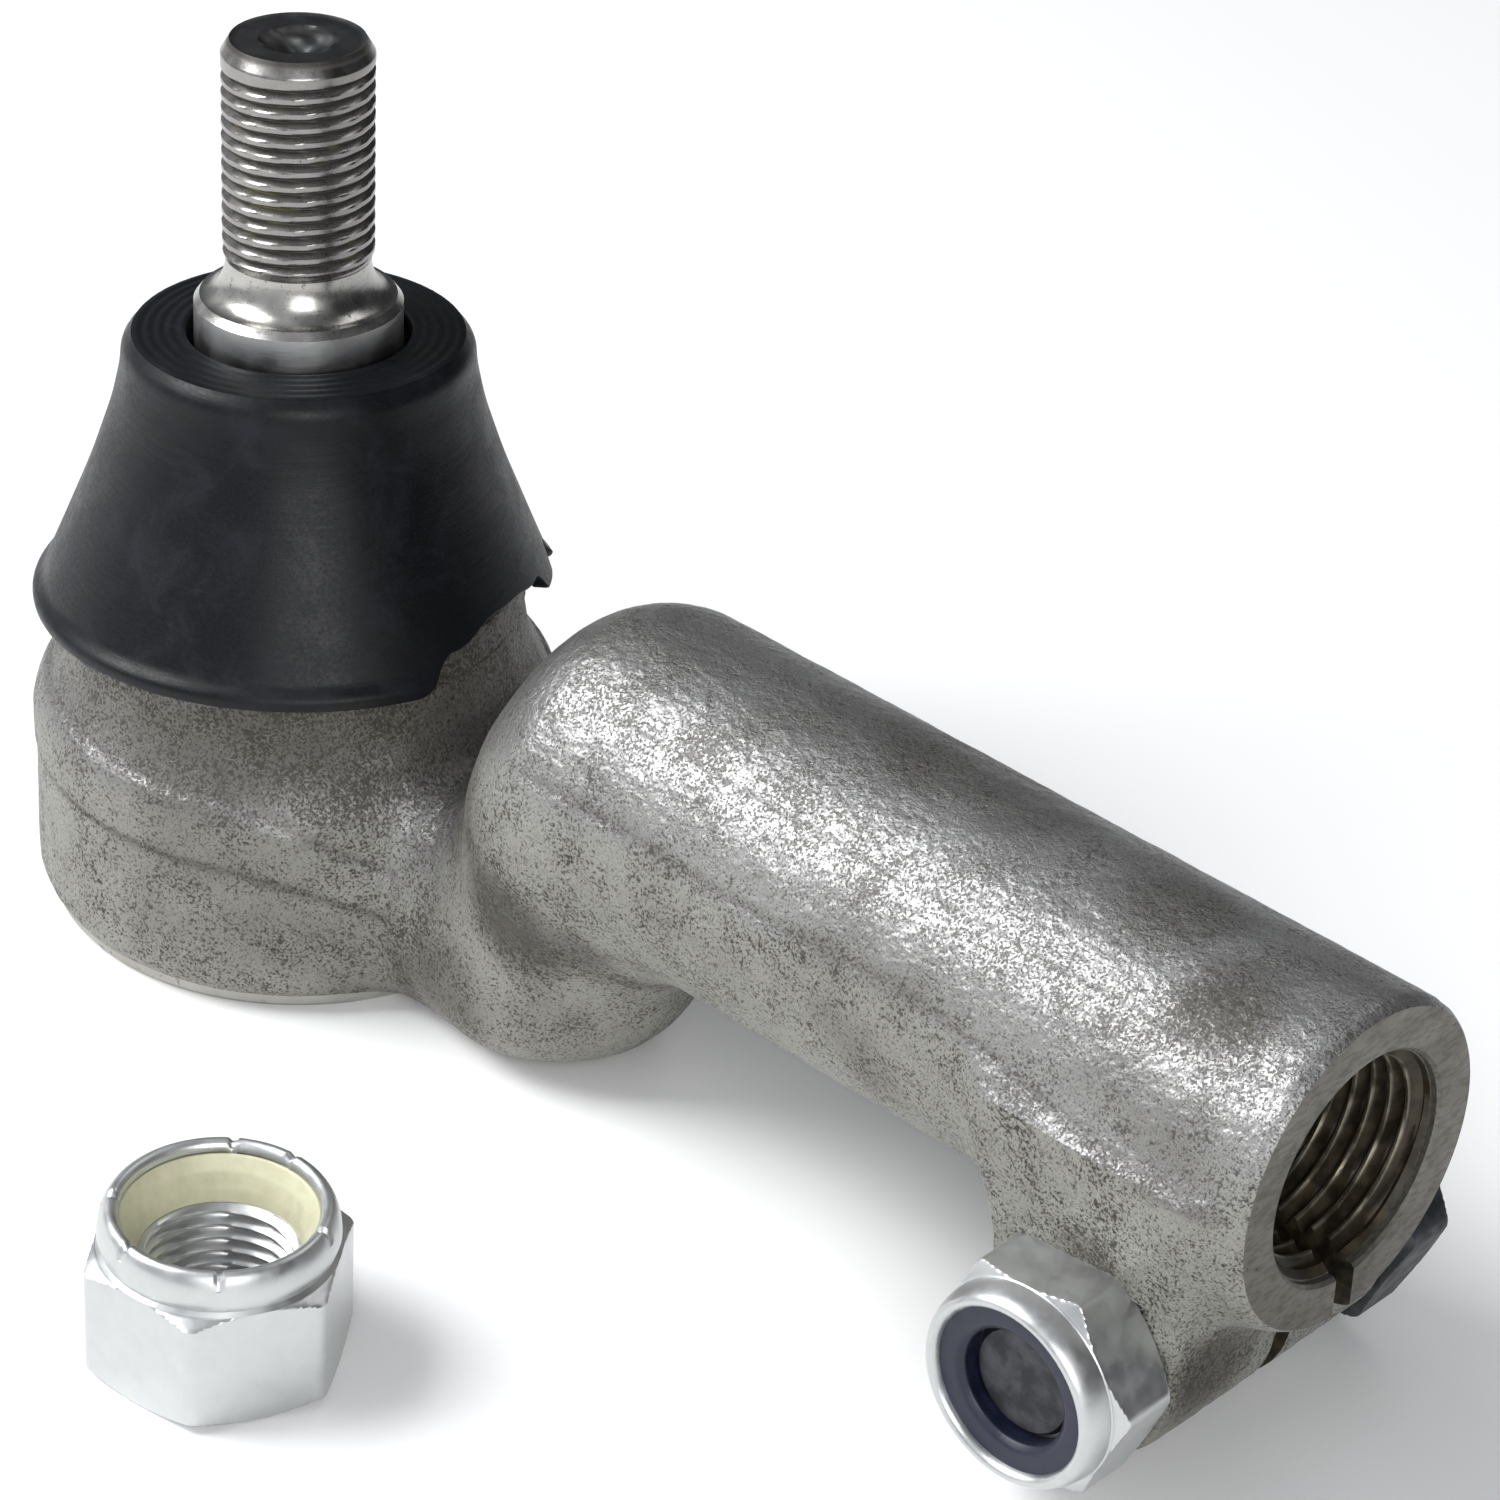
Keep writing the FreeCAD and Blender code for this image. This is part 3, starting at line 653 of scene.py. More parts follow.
def web_field(x, y, z):
    """Web between the head and the post."""
    corner = 4.0
    half = 10.5 + 3.0 * smooth_step(z, 3.0, 14.0) - 4.0 * smooth_step(z, 18.0, 30.0)
    gap_x = np.maximum(np.abs(x - 34.0) - (18.0 - corner), 0.0)
    gap_y = np.maximum(np.abs(y) - (half - corner), 0.0)
    gap_z = np.maximum(np.abs(z - 16.2) - (11.8 - corner), 0.0)
    return np.sqrt(gap_x ** 2 + gap_y ** 2 + gap_z ** 2) - corner


def lug_field(x, y, z):
    """Clamp lug under the open end."""
    drop = np.maximum(LUG_Z - z, 0.0)
    plan = np.hypot(x - LUG_X, drop) - LUG_RAD
    side = np.abs(y) - LUG_HALF - 0.6
    lug = blend_cut(plan, side, 2.4)
    return np.maximum(lug, z - TUBE_Z)


def housing_field(x, y, z):
    """Whole forging, and how far each point lies in one of its fillets."""
    parts = (head_field(x, y, z), web_field(x, y, z), knuckle_field(x, y, z),
             tube_field(x, y, z), lug_field(x, y, z))
    reaches = (10.0, 11.0, 15.0, 8.0)
    total = parts[0]
    nearest = parts[0]
    for part, reach in zip(parts[1:], reaches):
        total = blend_union(total, part, reach)
        nearest = np.minimum(nearest, part)
    recess = nearest - total
    return total, recess


def flash_edges(angle):
    """Lower and upper height of the flash band round the head at an azimuth in degrees."""
    near_arm = smooth_step(np.abs(angle), 62.0, 14.0)
    top = 32.2 - 10.5 * near_arm + 0.5 * np.sin(np.radians(angle * 2.0))
    return top - 8.6 + 3.0 * near_arm, top


def head_zone(x, y, z):
    """Whether points lie on the round wall of the head."""
    across = np.hypot(x, y)
    return (across < HEAD_RAD + 2.0) & (across > HEAD_RAD - 7.0) & (z < 45.0)


def tube_parting(x, z):
    """Height of points above the parting line along the rod socket."""
    parting = 6.4 - 5.2 * smooth_step(x, 120.0, TUBE_END) + 0.4 * np.sin(x * 0.11)
    return z - TUBE_Z - parting


def flash_lift(points):
    """Height of the trimmed flash and parting marks left by the forging dies."""
    x, y, z = points.T
    angle = np.degrees(np.arctan2(y, x))
    lift = np.zeros(len(points))
    on_head = head_zone(x, y, z)
    low, top = flash_edges(angle)
    band = smooth_step(z, low - 0.7, low + 0.1) * smooth_step(z, top + 0.4, top - 0.3)
    lift += np.where(on_head, 0.42 * band - 0.40, 0.0)
    ledge = np.exp(-((z - 36.4) / 1.0) ** 2) * smooth_step(np.abs(angle), 34.0, 18.0)
    lift += np.where(on_head, 0.6 * ledge, 0.0)
    side = tube_parting(x, z)
    ridge = np.exp(-(side / 0.9) ** 2) * 0.14 + 0.26 * smooth_step(side, 0.7, -0.7) - 0.26
    lift += np.where((x > 62.0) & (np.abs(y) > 14.0), ridge, 0.0)
    rough = waves(points, 5.0, 3) * 0.05 + waves(points, 2.6, 4) * 0.035
    return lift + rough


# Centres, radii and strengths of the brown pockets of the forging: brown left unscoured, and
# painted shade in the dark pockets at the head under the ledge
POCKETS = ((60.0, -18.0, 31.0, 11.0, 0.95), (70.0, -19.0, 30.0, 7.0, 0.7),
           (39.0, -17.0, 35.0, 9.0, 0.95), (33.0, -26.0, 36.0, 6.0, 0.6),
           (46.0, -17.0, 12.0, 9.0, 0.55), (165.0, -9.0, 67.0, 9.0, 0.7),
           (158.0, -17.0, 33.0, 10.0, 0.8), (172.0, -14.0, 20.0, 9.0, 0.8),
           (150.0, 0.0, 69.0, 10.0, 0.45), (110.0, 6.0, 68.0, 14.0, 0.35))


def brown_and_painted_shade(points, recess):
    """How brown and dark each point is: brown in the fillets and pockets, painted shade in the
    pockets under the ledge, dark lines at the flash lines and seam, and a painted shadow of the
    boot over the band under it.
    """
    x, y, z = points.T
    angle = np.degrees(np.arctan2(y, x))
    # painted shadow of the boot: the head's band under it darkens towards the top, most on the
    # front
    on_head = smooth_step(np.hypot(x, y), HEAD_RAD + 2.5, HEAD_RAD + 0.5)
    front = 0.55 + 0.45 * smooth_step(angle, -100.0, -50.0)
    shade = np.maximum(0.7 * smooth_step(recess, 1.6, 5.0), 0.75 * smooth_step(z, 26.0, 37.0)
                       * on_head * front)
    low, top = flash_edges(angle)
    line = np.exp(-((z - low + 0.5) / 0.7) ** 2) + 0.7 * np.exp(-((z - top - 0.6) / 0.7) ** 2)
    shade = np.maximum(shade, 0.65 * line * head_zone(x, y, z))
    seam = np.exp(-((tube_parting(x, z) - 0.8) / 0.8) ** 2) * (x > 62.0) * (np.abs(y) > 14.0)
    shade = np.maximum(shade, 0.40 * seam)
    for px, py, pz, reach, strength in POCKETS:
        away = np.sqrt((x - px) ** 2 + (y - py) ** 2 + (z - pz) ** 2) / reach
        shade = np.maximum(shade, strength * smooth_step(away, 1.15, 0.35))
    return np.clip(shade, 0.0, 1.0)


def surface_nets(field, origin, step):
    """Quad mesh of the zero surface of a sampled field."""
    unit = np.eye(3, dtype=int)
    inside = field < 0.0
    nx, ny, nz = np.array(field.shape) - 1
    count = sum(inside[i:nx + i, j:ny + j, k:nz + k].astype(np.int8)
                for i in (0, 1) for j in (0, 1) for k in (0, 1))
    active = (count > 0) & (count < 8)
    cells = np.argwhere(active)
    number = np.full(active.shape, -1, dtype=np.int64)
    number[active] = np.arange(len(cells))
    total = np.zeros((len(cells), 3))
    hits = np.zeros(len(cells))
    for axis in range(3):
        u, v = [i for i in range(3) if i != axis]
        for du in (0, 1):
            for dv in (0, 1):
                low = cells + du * unit[u] + dv * unit[v]
                first = field[tuple(low.T)]
                second = field[tuple((low + unit[axis]).T)]
                crossed = (first < 0.0) != (second < 0.0)
                part = first[crossed] / (first[crossed] - second[crossed])
                total[crossed] += low[crossed] + part[:, None] * unit[axis]
                hits[crossed] += 1
    points = total / hits[:, None] * step + origin
    quads = []
    for axis in range(3):
        u, v = [i for i in range(3) if i != axis]
        low = np.take(inside, np.arange(field.shape[axis] - 1), axis=axis)
        high = np.take(inside, np.arange(1, field.shape[axis]), axis=axis)
        edges = np.argwhere(low != high)
        edges = edges[(edges[:, u] > 0) & (edges[:, v] > 0)]
        edges = edges[(edges[:, u] < active.shape[u]) & (edges[:, v] < active.shape[v])]
        around = [number[tuple((edges - shift).T)]
                  for shift in (0 * unit[u], unit[u], unit[u] + unit[v], unit[v])]
        quad = np.stack(around, axis=-1)
        outward = low[tuple(edges.T)]
        if axis == 1:
            outward = ~outward
        quad[~outward] = quad[~outward][:, ::-1]
        quads.append(quad)
    return points, np.concatenate(quads)


def forging():
    """The rough forging as one mesh, before any machining."""
    low = np.array([-HEAD_RAD - 2.0, -HEAD_RAD - 2.0, -2.0 * STEP])
    high = np.array([TUBE_END + 3.0, HEAD_RAD + 2.0, TUBE_Z + TUBE_RAD + 2.0])
    counts = np.ceil((high - low) / STEP).astype(int) + 1
    axes = [low[i] + STEP * np.arange(counts[i]) for i in range(3)]
    x, y, z = np.meshgrid(*axes, indexing="ij", sparse=True)
    field, _ = housing_field(x, y, z)
    field = np.maximum(field, -z - 0.9)
    field = np.maximum(field, x - TUBE_END - 1.6)
    points, quads = surface_nets(field, low, STEP)
    reach = 0.35
    normals = np.zeros_like(points)
    for i, shift in enumerate(np.eye(3) * reach):
        ahead, _ = housing_field(*(points + shift).T)
        back, _ = housing_field(*(points - shift).T)
        normals[:, i] = ahead - back
    normals /= np.linalg.norm(normals, axis=1, keepdims=True) + 1e-9
    _, recess = housing_field(*points.T)
    side = (points[:, 2] > 1.0) & (points[:, 0] < TUBE_END)
    points = points + normals * (flash_lift(points) * side)[:, None]
    obj = make_mesh("housing_forging", points, quads, [FORGED])
    # brown staining with painted shade and the painted boot shadow
    add_layer(obj, "recess", brown_and_painted_shade(points, recess))
    return obj


def closed_turning(name, path, columns, turn=np.eye(3), origin=(0, 0, 0)):
    """Closed turned cutter from a path of (radius, height) with its ends on the axis."""
    path = np.array(path)
    grid = turned_points(path[1:-1, 0], path[1:-1, 1], columns)
    points, faces = capped(grid, path[0, 1], path[-1, 1])
    return make_mesh(name, placed(points, turn, origin), faces, [CUT])


def turned_ring(name, outline, material, turn=np.eye(3), origin=(0, 0, 0), flip=False):
    """Ring-shaped cutter from a closed outline of (radius, height) points."""
    outline = np.array(outline)
    points = turned_points(outline[:, 0], outline[:, 1], RING_COLUMNS).reshape(-1, 3)
    faces = looped_faces(len(outline), RING_COLUMNS)
    return make_mesh(name, placed(points, turn, origin), faces[:, ::-1] if flip else faces,
                     [material])


def boxed(name, low, high, material):
    """Axis-aligned block used for machining."""
    ends = np.array([low, high], dtype=float)
    points = np.array([[ends[i, 0], ends[j, 1], ends[k, 2]]
                       for i in (0, 1) for j in (0, 1) for k in (0, 1)])
    quads = np.array([[0, 1, 3, 2], [4, 6, 7, 5], [0, 4, 5, 1], [2, 3, 7, 6], [0, 2, 6, 4],
                      [1, 5, 7, 3]])
    return make_mesh(name, points, quads, [material])


def rod_thread_cutter():
    """Threaded bore of the rod socket, with a countersunk mouth and a drilled end."""
    columns = 100
    bottom = TUBE_END - ROD_DEPTH
    mouth = TUBE_END - 1.3
    mouth_rad = 15.25
    heights = np.concatenate([[bottom], np.arange(bottom + 0.4, mouth - 0.3, 0.34), [mouth]])
    depth = (ROD_MAJOR - ROD_MINOR) * thread_shape(heights, ROD_PITCH, columns, 0.14, 0.20)
    fade = smooth_step(heights, bottom + 2.0, bottom + 6.0)
    lead = ROD_MINOR + np.maximum(heights - (mouth - 1.8), 0.0) * 0.9
    radius = np.maximum(ROD_MINOR + depth * fade[:, None], lead[:, None])
    out = ([mouth_rad, mouth_rad, 17.0], [mouth + 0.02, TUBE_END - 0.45, TUBE_END + 1.2])
    points, faces = capped(stacked([(radius, heights), out], columns), bottom - 7.0, out[1][-1])
    threaded = len(heights) * columns
    slots = np.zeros(sum(len(group) for group in faces), dtype=int)
    slots[threaded - columns:threaded + 2 * columns] = 1
    return make_mesh("cut_bore", placed(points, ALONG_X, (0.0, 0.0, TUBE_Z)), faces,
                     [ROD_THREAD, FACED], slots)


def machining():
    """Every cutter that turns the forging into the housing."""
    cover_rad = 22.5
    groove_rad = 23.8
    chamber_rad = 20.4
    dome_rad = 18.56
    mouth_rad = 22.6
    cavity = [(0.0, -2.0), (cover_rad, -2.0), (cover_rad, 1.6), (groove_rad, 1.6),
              (groove_rad, 3.1), (cover_rad, 3.1), (cover_rad, 6.2), (chamber_rad, 6.2),
              (chamber_rad, BALL_Z)]
    for rise in np.radians(np.arange(5, 36, 5)):
        cavity.append((dome_rad * math.cos(rise), BALL_Z + dome_rad * math.sin(rise)))
    cavity += [(mouth_rad, HEAD_TOP), (mouth_rad + 0.2, HEAD_TOP + 1.0), (0.0, HEAD_TOP + 1.0)]
    foot = [(FOOT_RAD, FOOT_HIGH), (45.0, FOOT_HIGH), (45.0, -6.0), (FOOT_RAD - 0.8, -6.0),
            (FOOT_RAD - 0.8, 0.0), (FOOT_RAD, 0.8)]
    edge = [(TUBE_RAD - 1.15, TUBE_END + 0.2), (TUBE_RAD - 0.65, TUBE_END - 0.35),
            (TUBE_RAD - 0.2, TUBE_END - 1.2), (TUBE_RAD + 0.35, TUBE_END - 2.8),
            (TUBE_RAD + 0.35, TUBE_END + 3.0), (TUBE_RAD - 1.15, TUBE_END + 3.0)]
    hole_rad = BOLT_RAD + 0.06
    bolt = [(0.0, -40.0), (hole_rad, -40.0), (hole_rad, 40.0), (0.0, 40.0)]
    far = 80.0
    face_low = LUG_X - 17.0
    face_high = LUG_X + 17.0
    face_top = LUG_Z + 12.0
    return [
        boxed("cut_foot_plane", (-60, -60, -5), (130, 60, 0), CUT),
        turned_ring("cut_foot", foot, CUT, flip=True),
        boxed("cut_end", (TUBE_END, -60, -10), (TUBE_END + 20, 60, 90), FACED),
        turned_ring("cut_edge", edge, FORGED, ALONG_X, (0.0, 0.0, TUBE_Z)),
        boxed("cut_left", (face_low, -far, -5), (face_high, -LUG_HALF, face_top), FORGED),
        boxed("cut_right", (face_low, LUG_HALF, -5), (face_high, far, face_top), FORGED),
        closed_turning("cut_cavity", cavity, 128),
        rod_thread_cutter(),
        boxed("cut_slot", (SLOT_START, -SLOT_WIDE / 2, -4), (TUBE_END + 9, SLOT_WIDE / 2, TUBE_Z),
              SLOT_SHADE),
        closed_turning("cut_bolt", bolt, 64, ALONG_Y, (LUG_X, 0.0, LUG_Z)),
    ]


def machined(obj, cutters):
    """Mesh of the object with the cutters taken away one after another."""
    for cutter in cutters:
        step = obj.modifiers.new(cutter.name, "BOOLEAN")
        step.operation = "DIFFERENCE"
        step.object = cutter
        step.solver = "MANIFOLD"
        step.material_mode = "TRANSFER"
    bpy.context.view_layer.update()
    ready = obj.evaluated_get(bpy.context.evaluated_depsgraph_get())
    return bpy.data.meshes.new_from_object(ready)


def build_housing():
    """Forging, machined all over where the real one is."""
    rough = forging()
    cutters = machining()
    mesh = machined(rough, cutters)
    for extra in cutters + [rough]:
        bpy.data.objects.remove(extra)
    soften(mesh, 32.0)
    obj = add_object("housing_body_forged", mesh)
    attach(obj, "housing_body")
    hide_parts("housing")


# Ball stud --------
def stud_rows():
    """Radius, height and material slot of each row of the stud, from the ball to the thread."""
    ball = [(BALL_RAD * math.sin(a), BALL_Z - BALL_RAD * math.cos(a))
            for a in np.radians(np.arange(6, 147, 5))]
    neck = [(NECK_RAD, BALL_Z + 13.3), (NECK_RAD, 51.5), (BAND_RAD, 61.5),
            (BAND_RAD, RIM_Z - 1.0)]
    rows = [(radius, height, 0) for radius, height in fine_path(ball + neck, 2.0)]
    rows += [(BAND_RAD - 0.02, RIM_Z - 0.98, 1), (BAND_RAD - 0.78, RIM_Z, 1)]
    for turn in np.linspace(0.06, 1.0, 14) * math.pi / 2:
        rows.append((THROAT_RAD + (BAND_RAD - THROAT_RAD - 0.8) * (1.0 - math.sin(turn)),
                     RIM_Z + 5.3 * (1.0 - math.cos(turn)), 1))
    rows += [(THREAD_RAD, height, 2) for height in np.arange(RIM_Z + 5.35, STUD_TIP, 0.15)]
    return np.array(rows)


def stud_thread(height, columns):
    """Radius of the stud's thread, with its lead-in below and its chamfer above."""
    root_rad = THREAD_RAD - 0.95
    cut = root_rad + 0.90 * thread_shape(height, PITCH, columns, 0.34, 0.10)
    start = RIM_Z + 5.6
    part = (smooth_step(height, start - 0.4, start + 1.8)
            * smooth_step(height, STUD_TIP - 2.6, STUD_TIP - 3.8))[:, None]
    lead_in = THROAT_RAD + np.clip(height - (RIM_Z + 5.2), 0.0, 1.6)[:, None] * 0.35
    radius = np.minimum(cut, lead_in) * part + np.minimum(lead_in, THREAD_RAD) * (1 - part)
    cone = STUD_END_RAD + np.maximum(STUD_TIP - height, 0.0)[:, None] * 0.60
    return np.minimum(radius, cone)


def stud_end(columns):
    """Grid of points of the stud's end, with the uneven hollow that a drill left in it."""
    path = fine_path([(STUD_END_RAD, STUD_TIP), (7.0, STUD_TIP + 0.02), (5.2, STUD_TIP + 0.02),
                      (3.9, STUD_TIP - 0.6), (2.6, STUD_TIP - 1.0), (0.9, STUD_TIP - 2.0)], 0.5)
    grid = turned_points(path[:, 0], path[:, 1], columns)
    grid[..., 2] += waves(grid, 3.0, 11) * 0.34 * (path[:, 0] < 5.0)[:, None] - 0.3
    grid[0, :, 2] = STUD_TIP
    return grid


def build_stud():
    """Ball, neck, ground band, polished flare, thread and drilled end in one turned piece."""
    columns = 160
    rows = stud_rows()
    radius = spread(rows[:, 0], columns)
    is_thread = rows[:, 2] == 2
    radius[is_thread] = stud_thread(rows[:, 1], columns)[is_thread]
    body = turned_points(radius, rows[:, 1], columns)
    end = stud_end(columns)
    points, faces = capped(np.concatenate([body, end]), BALL_Z - BALL_RAD, STUD_TIP - 2.6)
    kind = np.concatenate([rows[:, 2], np.full(len(end), 3)])[1:]
    slots = np.concatenate([np.repeat(kind, columns), np.zeros(columns), np.full(columns, 3)])
    obj = make_mesh("stud_turned", leaned(points), faces, [BAND, GROUND, THREAD, END], slots)
    root = np.zeros(len(points))
    depth = np.where(is_thread[:, None], (THREAD_RAD - radius) / 1.2, 0.0)
    root[:depth.size] = np.clip(depth.ravel(), 0.0, 1.0)
    add_layer(obj, "root", root)
    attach(obj, "stud_body")
    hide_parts("ball_stud")


# Boot --------
def notch_height(degree):
    """Height of the boot's lower edge: a ragged cut on the arm side, with a small tab."""
    degree = (degree + 180.0) % 360.0 - 180.0
    rise = (4.6 * smooth_step(degree, -17.0, -6.0) + 1.9 * smooth_step(degree, -6.0, 12.0)
            - 3.2 * smooth_step(degree, 31.0, 37.0) + 2.4 * smooth_step(degree, 45.0, 49.0))
    close = smooth_step(degree, 64.0, 54.0)
    ragged = 0.22 * np.sin(np.radians(degree * 9.0)) + 0.16 * np.sin(np.radians(degree * 23.0))
    rise = rise * close
    return BOOT_LOW + rise + ragged * smooth_step(rise, 0.5, 2.5)


def build_boot():
    """Thick rubber cone with a beaded rim, cut away on the arm side."""
    columns = 480
    low = notch_height(np.arange(columns) * 360.0 / columns)
    outer = rounded_path([(BOOT_RAD, 44.0), (BOOT_RAD, 45.5), (34.3, 46.8), (31.9, 52.6),
                          (27.8, 62.8), (24.9, 71.5), (23.7, 77.2), (23.5, 80.3),
                          (22.1, BOOT_TOP - 0.35)], 2.2)
    part = np.linspace(0.0, 1.0, 90)[:, None] ** 1.25
    out_height = low + 0.4 + (outer[-1, 1] - 0.4 - low) * part
    bead = 0.28 * np.exp(-((out_height - 45.0) / 1.15) ** 2)
    out_radius = np.interp(out_height, outer[:, 1], outer[:, 0]) + bead - 0.28
    top_radius = np.linspace(21.9, 15.0, 28)
    rings = 0.045 * np.sin(np.linspace(22.0, 15.0, 28) * 4.2)
    top_height = BOOT_TOP - 0.32 + 0.28 * (21.9 - top_radius) / 6.9 + rings
    grip_rad = BAND_RAD + 0.08
    hole = rounded_path([(15.0, BOOT_TOP), (14.7, BOOT_TOP - 0.4), (14.5, 80.0), (grip_rad, 79.2),
                         (grip_rad, BOOT_GRIP), (13.9, BOOT_GRIP)], 0.3)[1:]
    inner = np.array([(33.2, BOOT_LOW), (30.2, 50.4), (25.4, 59.4), (18.2, 65.0),
                      (13.9, BOOT_GRIP)])
    in_height = low + (BOOT_GRIP - low) * np.linspace(1.0, 0.0, 26)[1:, None]
    in_radius = np.interp(in_height, inner[:, 1], inner[:, 0])
    edge_radius = np.stack([in_radius[-1] + 0.35, out_radius[0] - 0.5, out_radius[0] - 0.12])
    edge_height = np.stack([low, low + 0.02, low + 0.16])
    points = stacked([(out_radius, out_height), (top_radius, top_height), (hole[:, 0], hole[:, 1]),
                      (in_radius, in_height), (edge_radius, edge_height)], columns)
    points[..., 0:2] *= (1.0 + 0.0018 * waves(points, 24.0, 21))[..., None]
    obj = make_mesh("boot_rubber_cone", leaned(points.reshape(-1, 3)),
                    looped_faces(len(points), columns), [RUBBER], sharp=50.0)
    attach(obj, "boot_body")
    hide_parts("boot")


def build_grease():
    """Grease film squeezed out on the dome inside the boot's cut-out."""
    rows, columns = 28, 64
    azimuth = np.radians(np.linspace(-20.0, 62.0, columns))
    rise = np.linspace(31.0, 42.0, rows)
    lift, spin = np.meshgrid(np.radians(rise), azimuth, indexing="ij")
    direction = np.stack([np.cos(lift) * np.cos(spin), np.cos(lift) * np.sin(spin),
                          np.sin(lift)], axis=-1)
    thick = 1.1 * waves(direction * HEAD_RAD, 5.0, 31) - 0.25
    edge = smooth_step(rise, 31.0, 36.0)[:, None]
    ends = (smooth_step(np.degrees(azimuth), -24.0, -16.0)
            * smooth_step(np.degrees(azimuth), 62.0, 52.0))[None, :]
    radius = HEAD_RAD - 1.25 + (0.7 + np.clip(thick, -0.5, 0.9)) * edge * ends
    points = direction * radius[..., None] + PIVOT
    obj = make_mesh("boot_grease", points.reshape(-1, 3),
                    grid_faces(rows, columns, wrap=False), [GREASE], sharp=60.0)
    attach(obj, "housing_body")


# Nuts and bolt --------
def hex_block(flats, high, foot, crown, columns):
    """Rows of a hexagon with rounded edges, cut by a cone at the foot and at the crown."""
    angle = column_angles(columns) + math.pi / 6
    from_flat = (angle + math.pi / 6) % (math.pi / 3) - math.pi / 6
    reach = np.minimum(flats / 2.0 / np.cos(from_flat), flats / math.sqrt(3.0) * 0.985)
    slope = math.tan(math.radians(28.0))
    heights = np.concatenate([np.linspace(0.0, 2.4, 13), np.linspace(3.0, high - 3.0, 8),
                              np.linspace(high - 2.4, high, 13)])
    foot_cone = foot + heights / slope
    crown_cone = crown + (high - heights) / slope
    radius = np.minimum(reach[None, :], np.minimum(foot_cone, crown_cone)[:, None])
    return radius, heights


def lock_nut(node, material, flats, hex_high, high, bore, throat, ring, turn, origin, spin,
             nicks=0):
    """Prevailing-torque nut with a rolled collar, and the nylon ring that the collar holds."""
    columns = 192
    collar = flats / 2.0 - 0.1
    crest = 0.38 * collar + 0.62 * throat
    seat = ring[0][1]
    hexagon = hex_block(flats, hex_high, flats * 0.49, flats * 0.505, columns)
    shoulder = [(collar + 0.15, hex_high), (collar - 0.35, hex_high + 0.5)]
    for rise in np.radians(np.arange(0, 91, 10)):
        shoulder.append((crest + (collar - crest) * math.cos(rise),
                         high - 4.0 + 4.0 * math.sin(rise)))
    for rise in np.radians(np.arange(100, 181, 16)):
        shoulder.append((crest + (crest - throat) * math.cos(rise),
                         high - 1.3 + 1.3 * math.sin(rise)))
    groove = [(throat + 0.5, high - 1.5), (throat + 0.5, seat - 0.05), (bore + 0.1, seat - 0.06)]
    rows = np.arange(seat - 0.1, 1.0, -0.2)
    thread = bore - 1.0 + 1.05 * thread_shape(rows, PITCH, columns, 0.14, 0.16)
    mouth = np.minimum(bore + 1.0 - rows, bore + 0.9)[:, None]
    foot = [(bore + 0.9, 0.0), (flats * 0.44, 0.0)]
    grid = stacked([hexagon, np.transpose(shoulder), np.transpose(groove),
                    (np.maximum(thread, mouth), rows), np.transpose(foot)], columns)
    rolled = slice(len(hexagon[1]) + 6, len(hexagon[1]) + len(shoulder))
    for k in range(nicks):
        middle = 2.0 * math.pi * (k + 0.25 * math.sin(k * 2.4)) / nicks + 0.35
        away = (column_angles(columns) - middle + math.pi) % (2.0 * math.pi) - math.pi
        grid[rolled, :, 2] -= 0.55 * np.exp(-(away * collar / 0.5) ** 4)
    spun = turn @ np.array(Matrix.Rotation(spin, 3, "Z"))
    nut = make_mesh(node + "_zinc", placed(grid.reshape(-1, 3), spun, origin),
                    looped_faces(len(grid), columns), [ZINC], sharp=30.0)
    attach(nut, node + "_body")
    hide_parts(node)
    section = rounded_path(ring + [ring[0]], 0.35)
    points = turned_points(section[:, 0], section[:, 1], 96).reshape(-1, 3)
    insert = make_mesh(node + "_ring", placed(points, turn, origin), grid_faces(len(section), 96),
                       [material], sharp=50.0)
    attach(insert, node + "_body")
    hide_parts(node + "_insert")


def build_bolt():
    """Clamp bolt: chamfered hexagon head, washer face, shank and rolled thread end."""
    columns = 144
    thick = BOLT_HIGH[1] - LUG_HALF
    tip = -BOLT_LONG
    chamfer = BOLT_FLATS * 0.466
    rows = np.arange(tip + 0.1, tip + 20.0, 0.2)
    thread = BOLT_RAD - 1.1 + 1.08 * thread_shape(rows, PITCH, columns, 0.12, 0.14)
    thread = np.minimum(thread, BOLT_RAD - 1.3 + (rows - tip)[:, None] * 0.9)
    shank = ([BOLT_RAD - 0.02, BOLT_RAD - 0.02, 13.0], [tip + 20.3, -0.01, 0.0])
    hexagon = hex_block(BOLT_FLATS, thick, BOLT_FLATS * 0.49, chamfer, columns)
    crown = rounded_path([(chamfer - 0.3, thick), (13.2, thick), (6.0, thick - 0.12),
                          (0.8, thick - 0.15)], 0.6)
    grid = stacked([(thread, rows), shank, hexagon, crown.T], columns)
    points, faces = capped(grid, tip, thick - 0.15)
    turn = spin_axis_to((0, 1, 0)) @ np.array(Matrix.Rotation(math.radians(-5.0), 3, "Z"))
    obj = make_mesh("clamp_bolt_hex", placed(points, turn, (LUG_X, LUG_HALF, LUG_Z)), faces,
                    [DARK], sharp=30.0)
    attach(obj, "clamp_bolt_body")
    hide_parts("clamp_bolt")


# Carried-over CAD nodes --------
def dress_nodes():
    """Procedural materials on the CAD nodes that stay as they are."""
    for node, material in (("ball_liner", LINER), ("lower_seat", SEAT),
                           ("preload_spring", SPRING), ("cover_plate", PLATE),
                           ("cover_seal", SEAL), ("retaining_ring", SPRING)):
        obj = frame["nodes"][node]
        for spot in obj.material_slots:
            spot.material = material


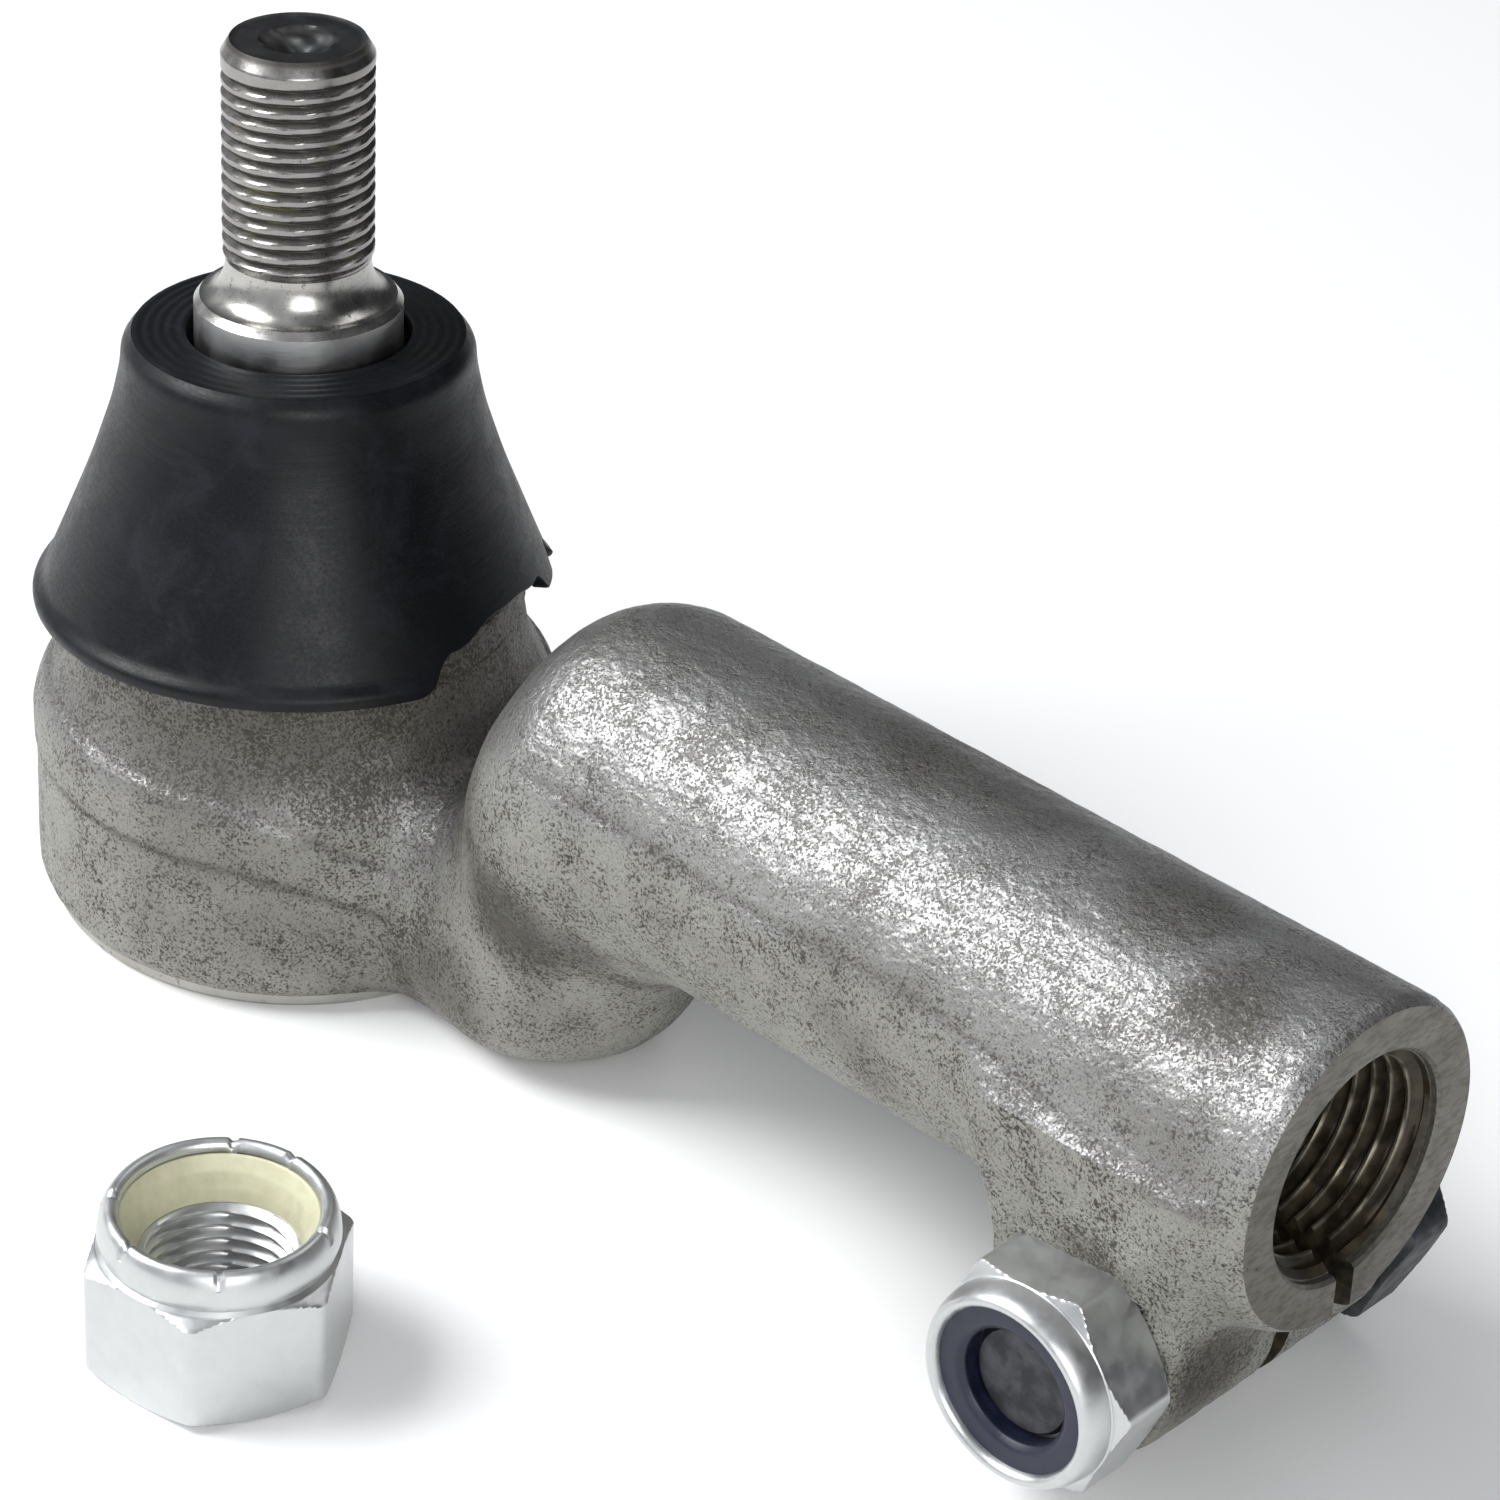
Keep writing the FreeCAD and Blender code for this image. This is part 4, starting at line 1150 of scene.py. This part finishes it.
# Camera, floor and light --------
def make_camera():
    """Camera at the photograph's viewing angle: its place and its right and up directions."""
    place = Vector((496.609, -469.452, 468.903))
    right = Vector((0.72813, 0.68390, 0.04592))
    up = Vector((-0.40346, 0.37347, 0.83531))
    data = bpy.data.cameras.new("Camera")
    data.lens = 144.25
    data.sensor_width = 36.0
    data.clip_start = 0.05
    data.clip_end = 50.0
    camera = add_object("Camera", data)
    turn = Matrix((right, up, right.cross(up))).transposed().to_4x4()
    camera.matrix_world = Matrix.Translation(place * MM) @ turn
    bpy.context.scene.camera = camera


def area_light(name, place, size, power):
    """Rectangular soft light aimed at the middle of the part, in metres and watts."""
    data = bpy.data.lights.new(name, "AREA")
    data.shape = "RECTANGLE"
    data.size = size[0]
    data.size_y = size[1]
    data.energy = power
    lamp = add_object(name, data)
    turn = (Vector(place) - Vector(MIDDLE)).to_track_quat("Z", "Y").to_matrix().to_4x4()
    lamp.matrix_world = Matrix.Translation(Vector(place)) @ turn


def make_floor():
    """Plain pale floor."""
    s = Shader("floor_pale")
    tone = s.mix(s.noise(400.0, 2.0), (0.93, 0.93, 0.93), (0.95, 0.95, 0.95))
    material = s.finish(tone, 0.9)
    reach = 4.0 / MM
    drop = -0.05
    points = np.array([[-reach, -reach, drop], [reach, -reach, drop], [reach, reach, drop],
                       [-reach, reach, drop]])
    floor = make_mesh("floor", points, np.array([[0, 1, 2, 3]]), [material])


def make_world():
    """Pale surroundings, brighter on the near side than behind the part."""
    world = bpy.data.worlds.new("World")
    bpy.context.scene.world = world
    world.use_nodes = True
    tree = world.node_tree
    background = tree.nodes["Background"]
    place = tree.nodes.new("ShaderNodeTexCoord")
    facing = tree.nodes.new("ShaderNodeVectorMath")
    facing.operation = "DOT_PRODUCT"
    facing.inputs[1].default_value = (-0.40, -0.85, 0.10)
    fade = tree.nodes.new("ShaderNodeMapRange")
    set_range(fade, -0.55, 0.65, 0.06, 0.62)
    tree.links.new(place.outputs["Generated"], facing.inputs[0])
    tree.links.new(facing.outputs["Value"], fade.inputs["Value"])
    tree.links.new(fade.outputs["Result"], background.inputs["Strength"])
    background.inputs["Color"].default_value = (0.84, 0.87, 0.92, 1.0)


MIDDLE = (0.07, -0.02, 0.05)
make_camera()
make_floor()
make_world()
area_light("key_left", (-0.55, -0.50, 0.85), (0.60, 0.60), 14.0)
area_light("fill_right", (0.75, -0.55, 0.50), (0.50, 0.50), 4.5)
area_light("top_back", (0.10, 0.65, 0.95), (0.70, 0.30), 1.2)
bpy.context.scene.view_settings.view_transform = "Standard"

build_housing()
build_stud()
build_boot()
build_grease()
lock_nut("stud_nut", IVORY, flats=30.0, hex_high=16.4, high=22.0, bore=10.06, throat=12.2,
         ring=[(10.08, 14.6), (12.6, 14.6), (12.6, 20.4), (12.0, 20.5), (10.9, 18.6),
               (10.3, 16.4)],
         turn=np.eye(3), origin=(NUT_AT[0], NUT_AT[1], 0.0), spin=math.radians(5.0), nicks=6)
lock_nut("clamp_nut", NAVY, flats=27.0, hex_high=9.4, high=13.4, bore=8.06, throat=11.0,
         ring=[(8.08, 8.4), (11.4, 8.4), (11.4, 12.3), (8.5, 12.2), (7.6, 11.4), (8.08, 10.2)],
         turn=ALONG_Y @ np.diag([1.0, -1.0, -1.0]), origin=(LUG_X, -LUG_HALF, LUG_Z),
         spin=math.radians(6.0))
build_bolt()
dress_nodes()
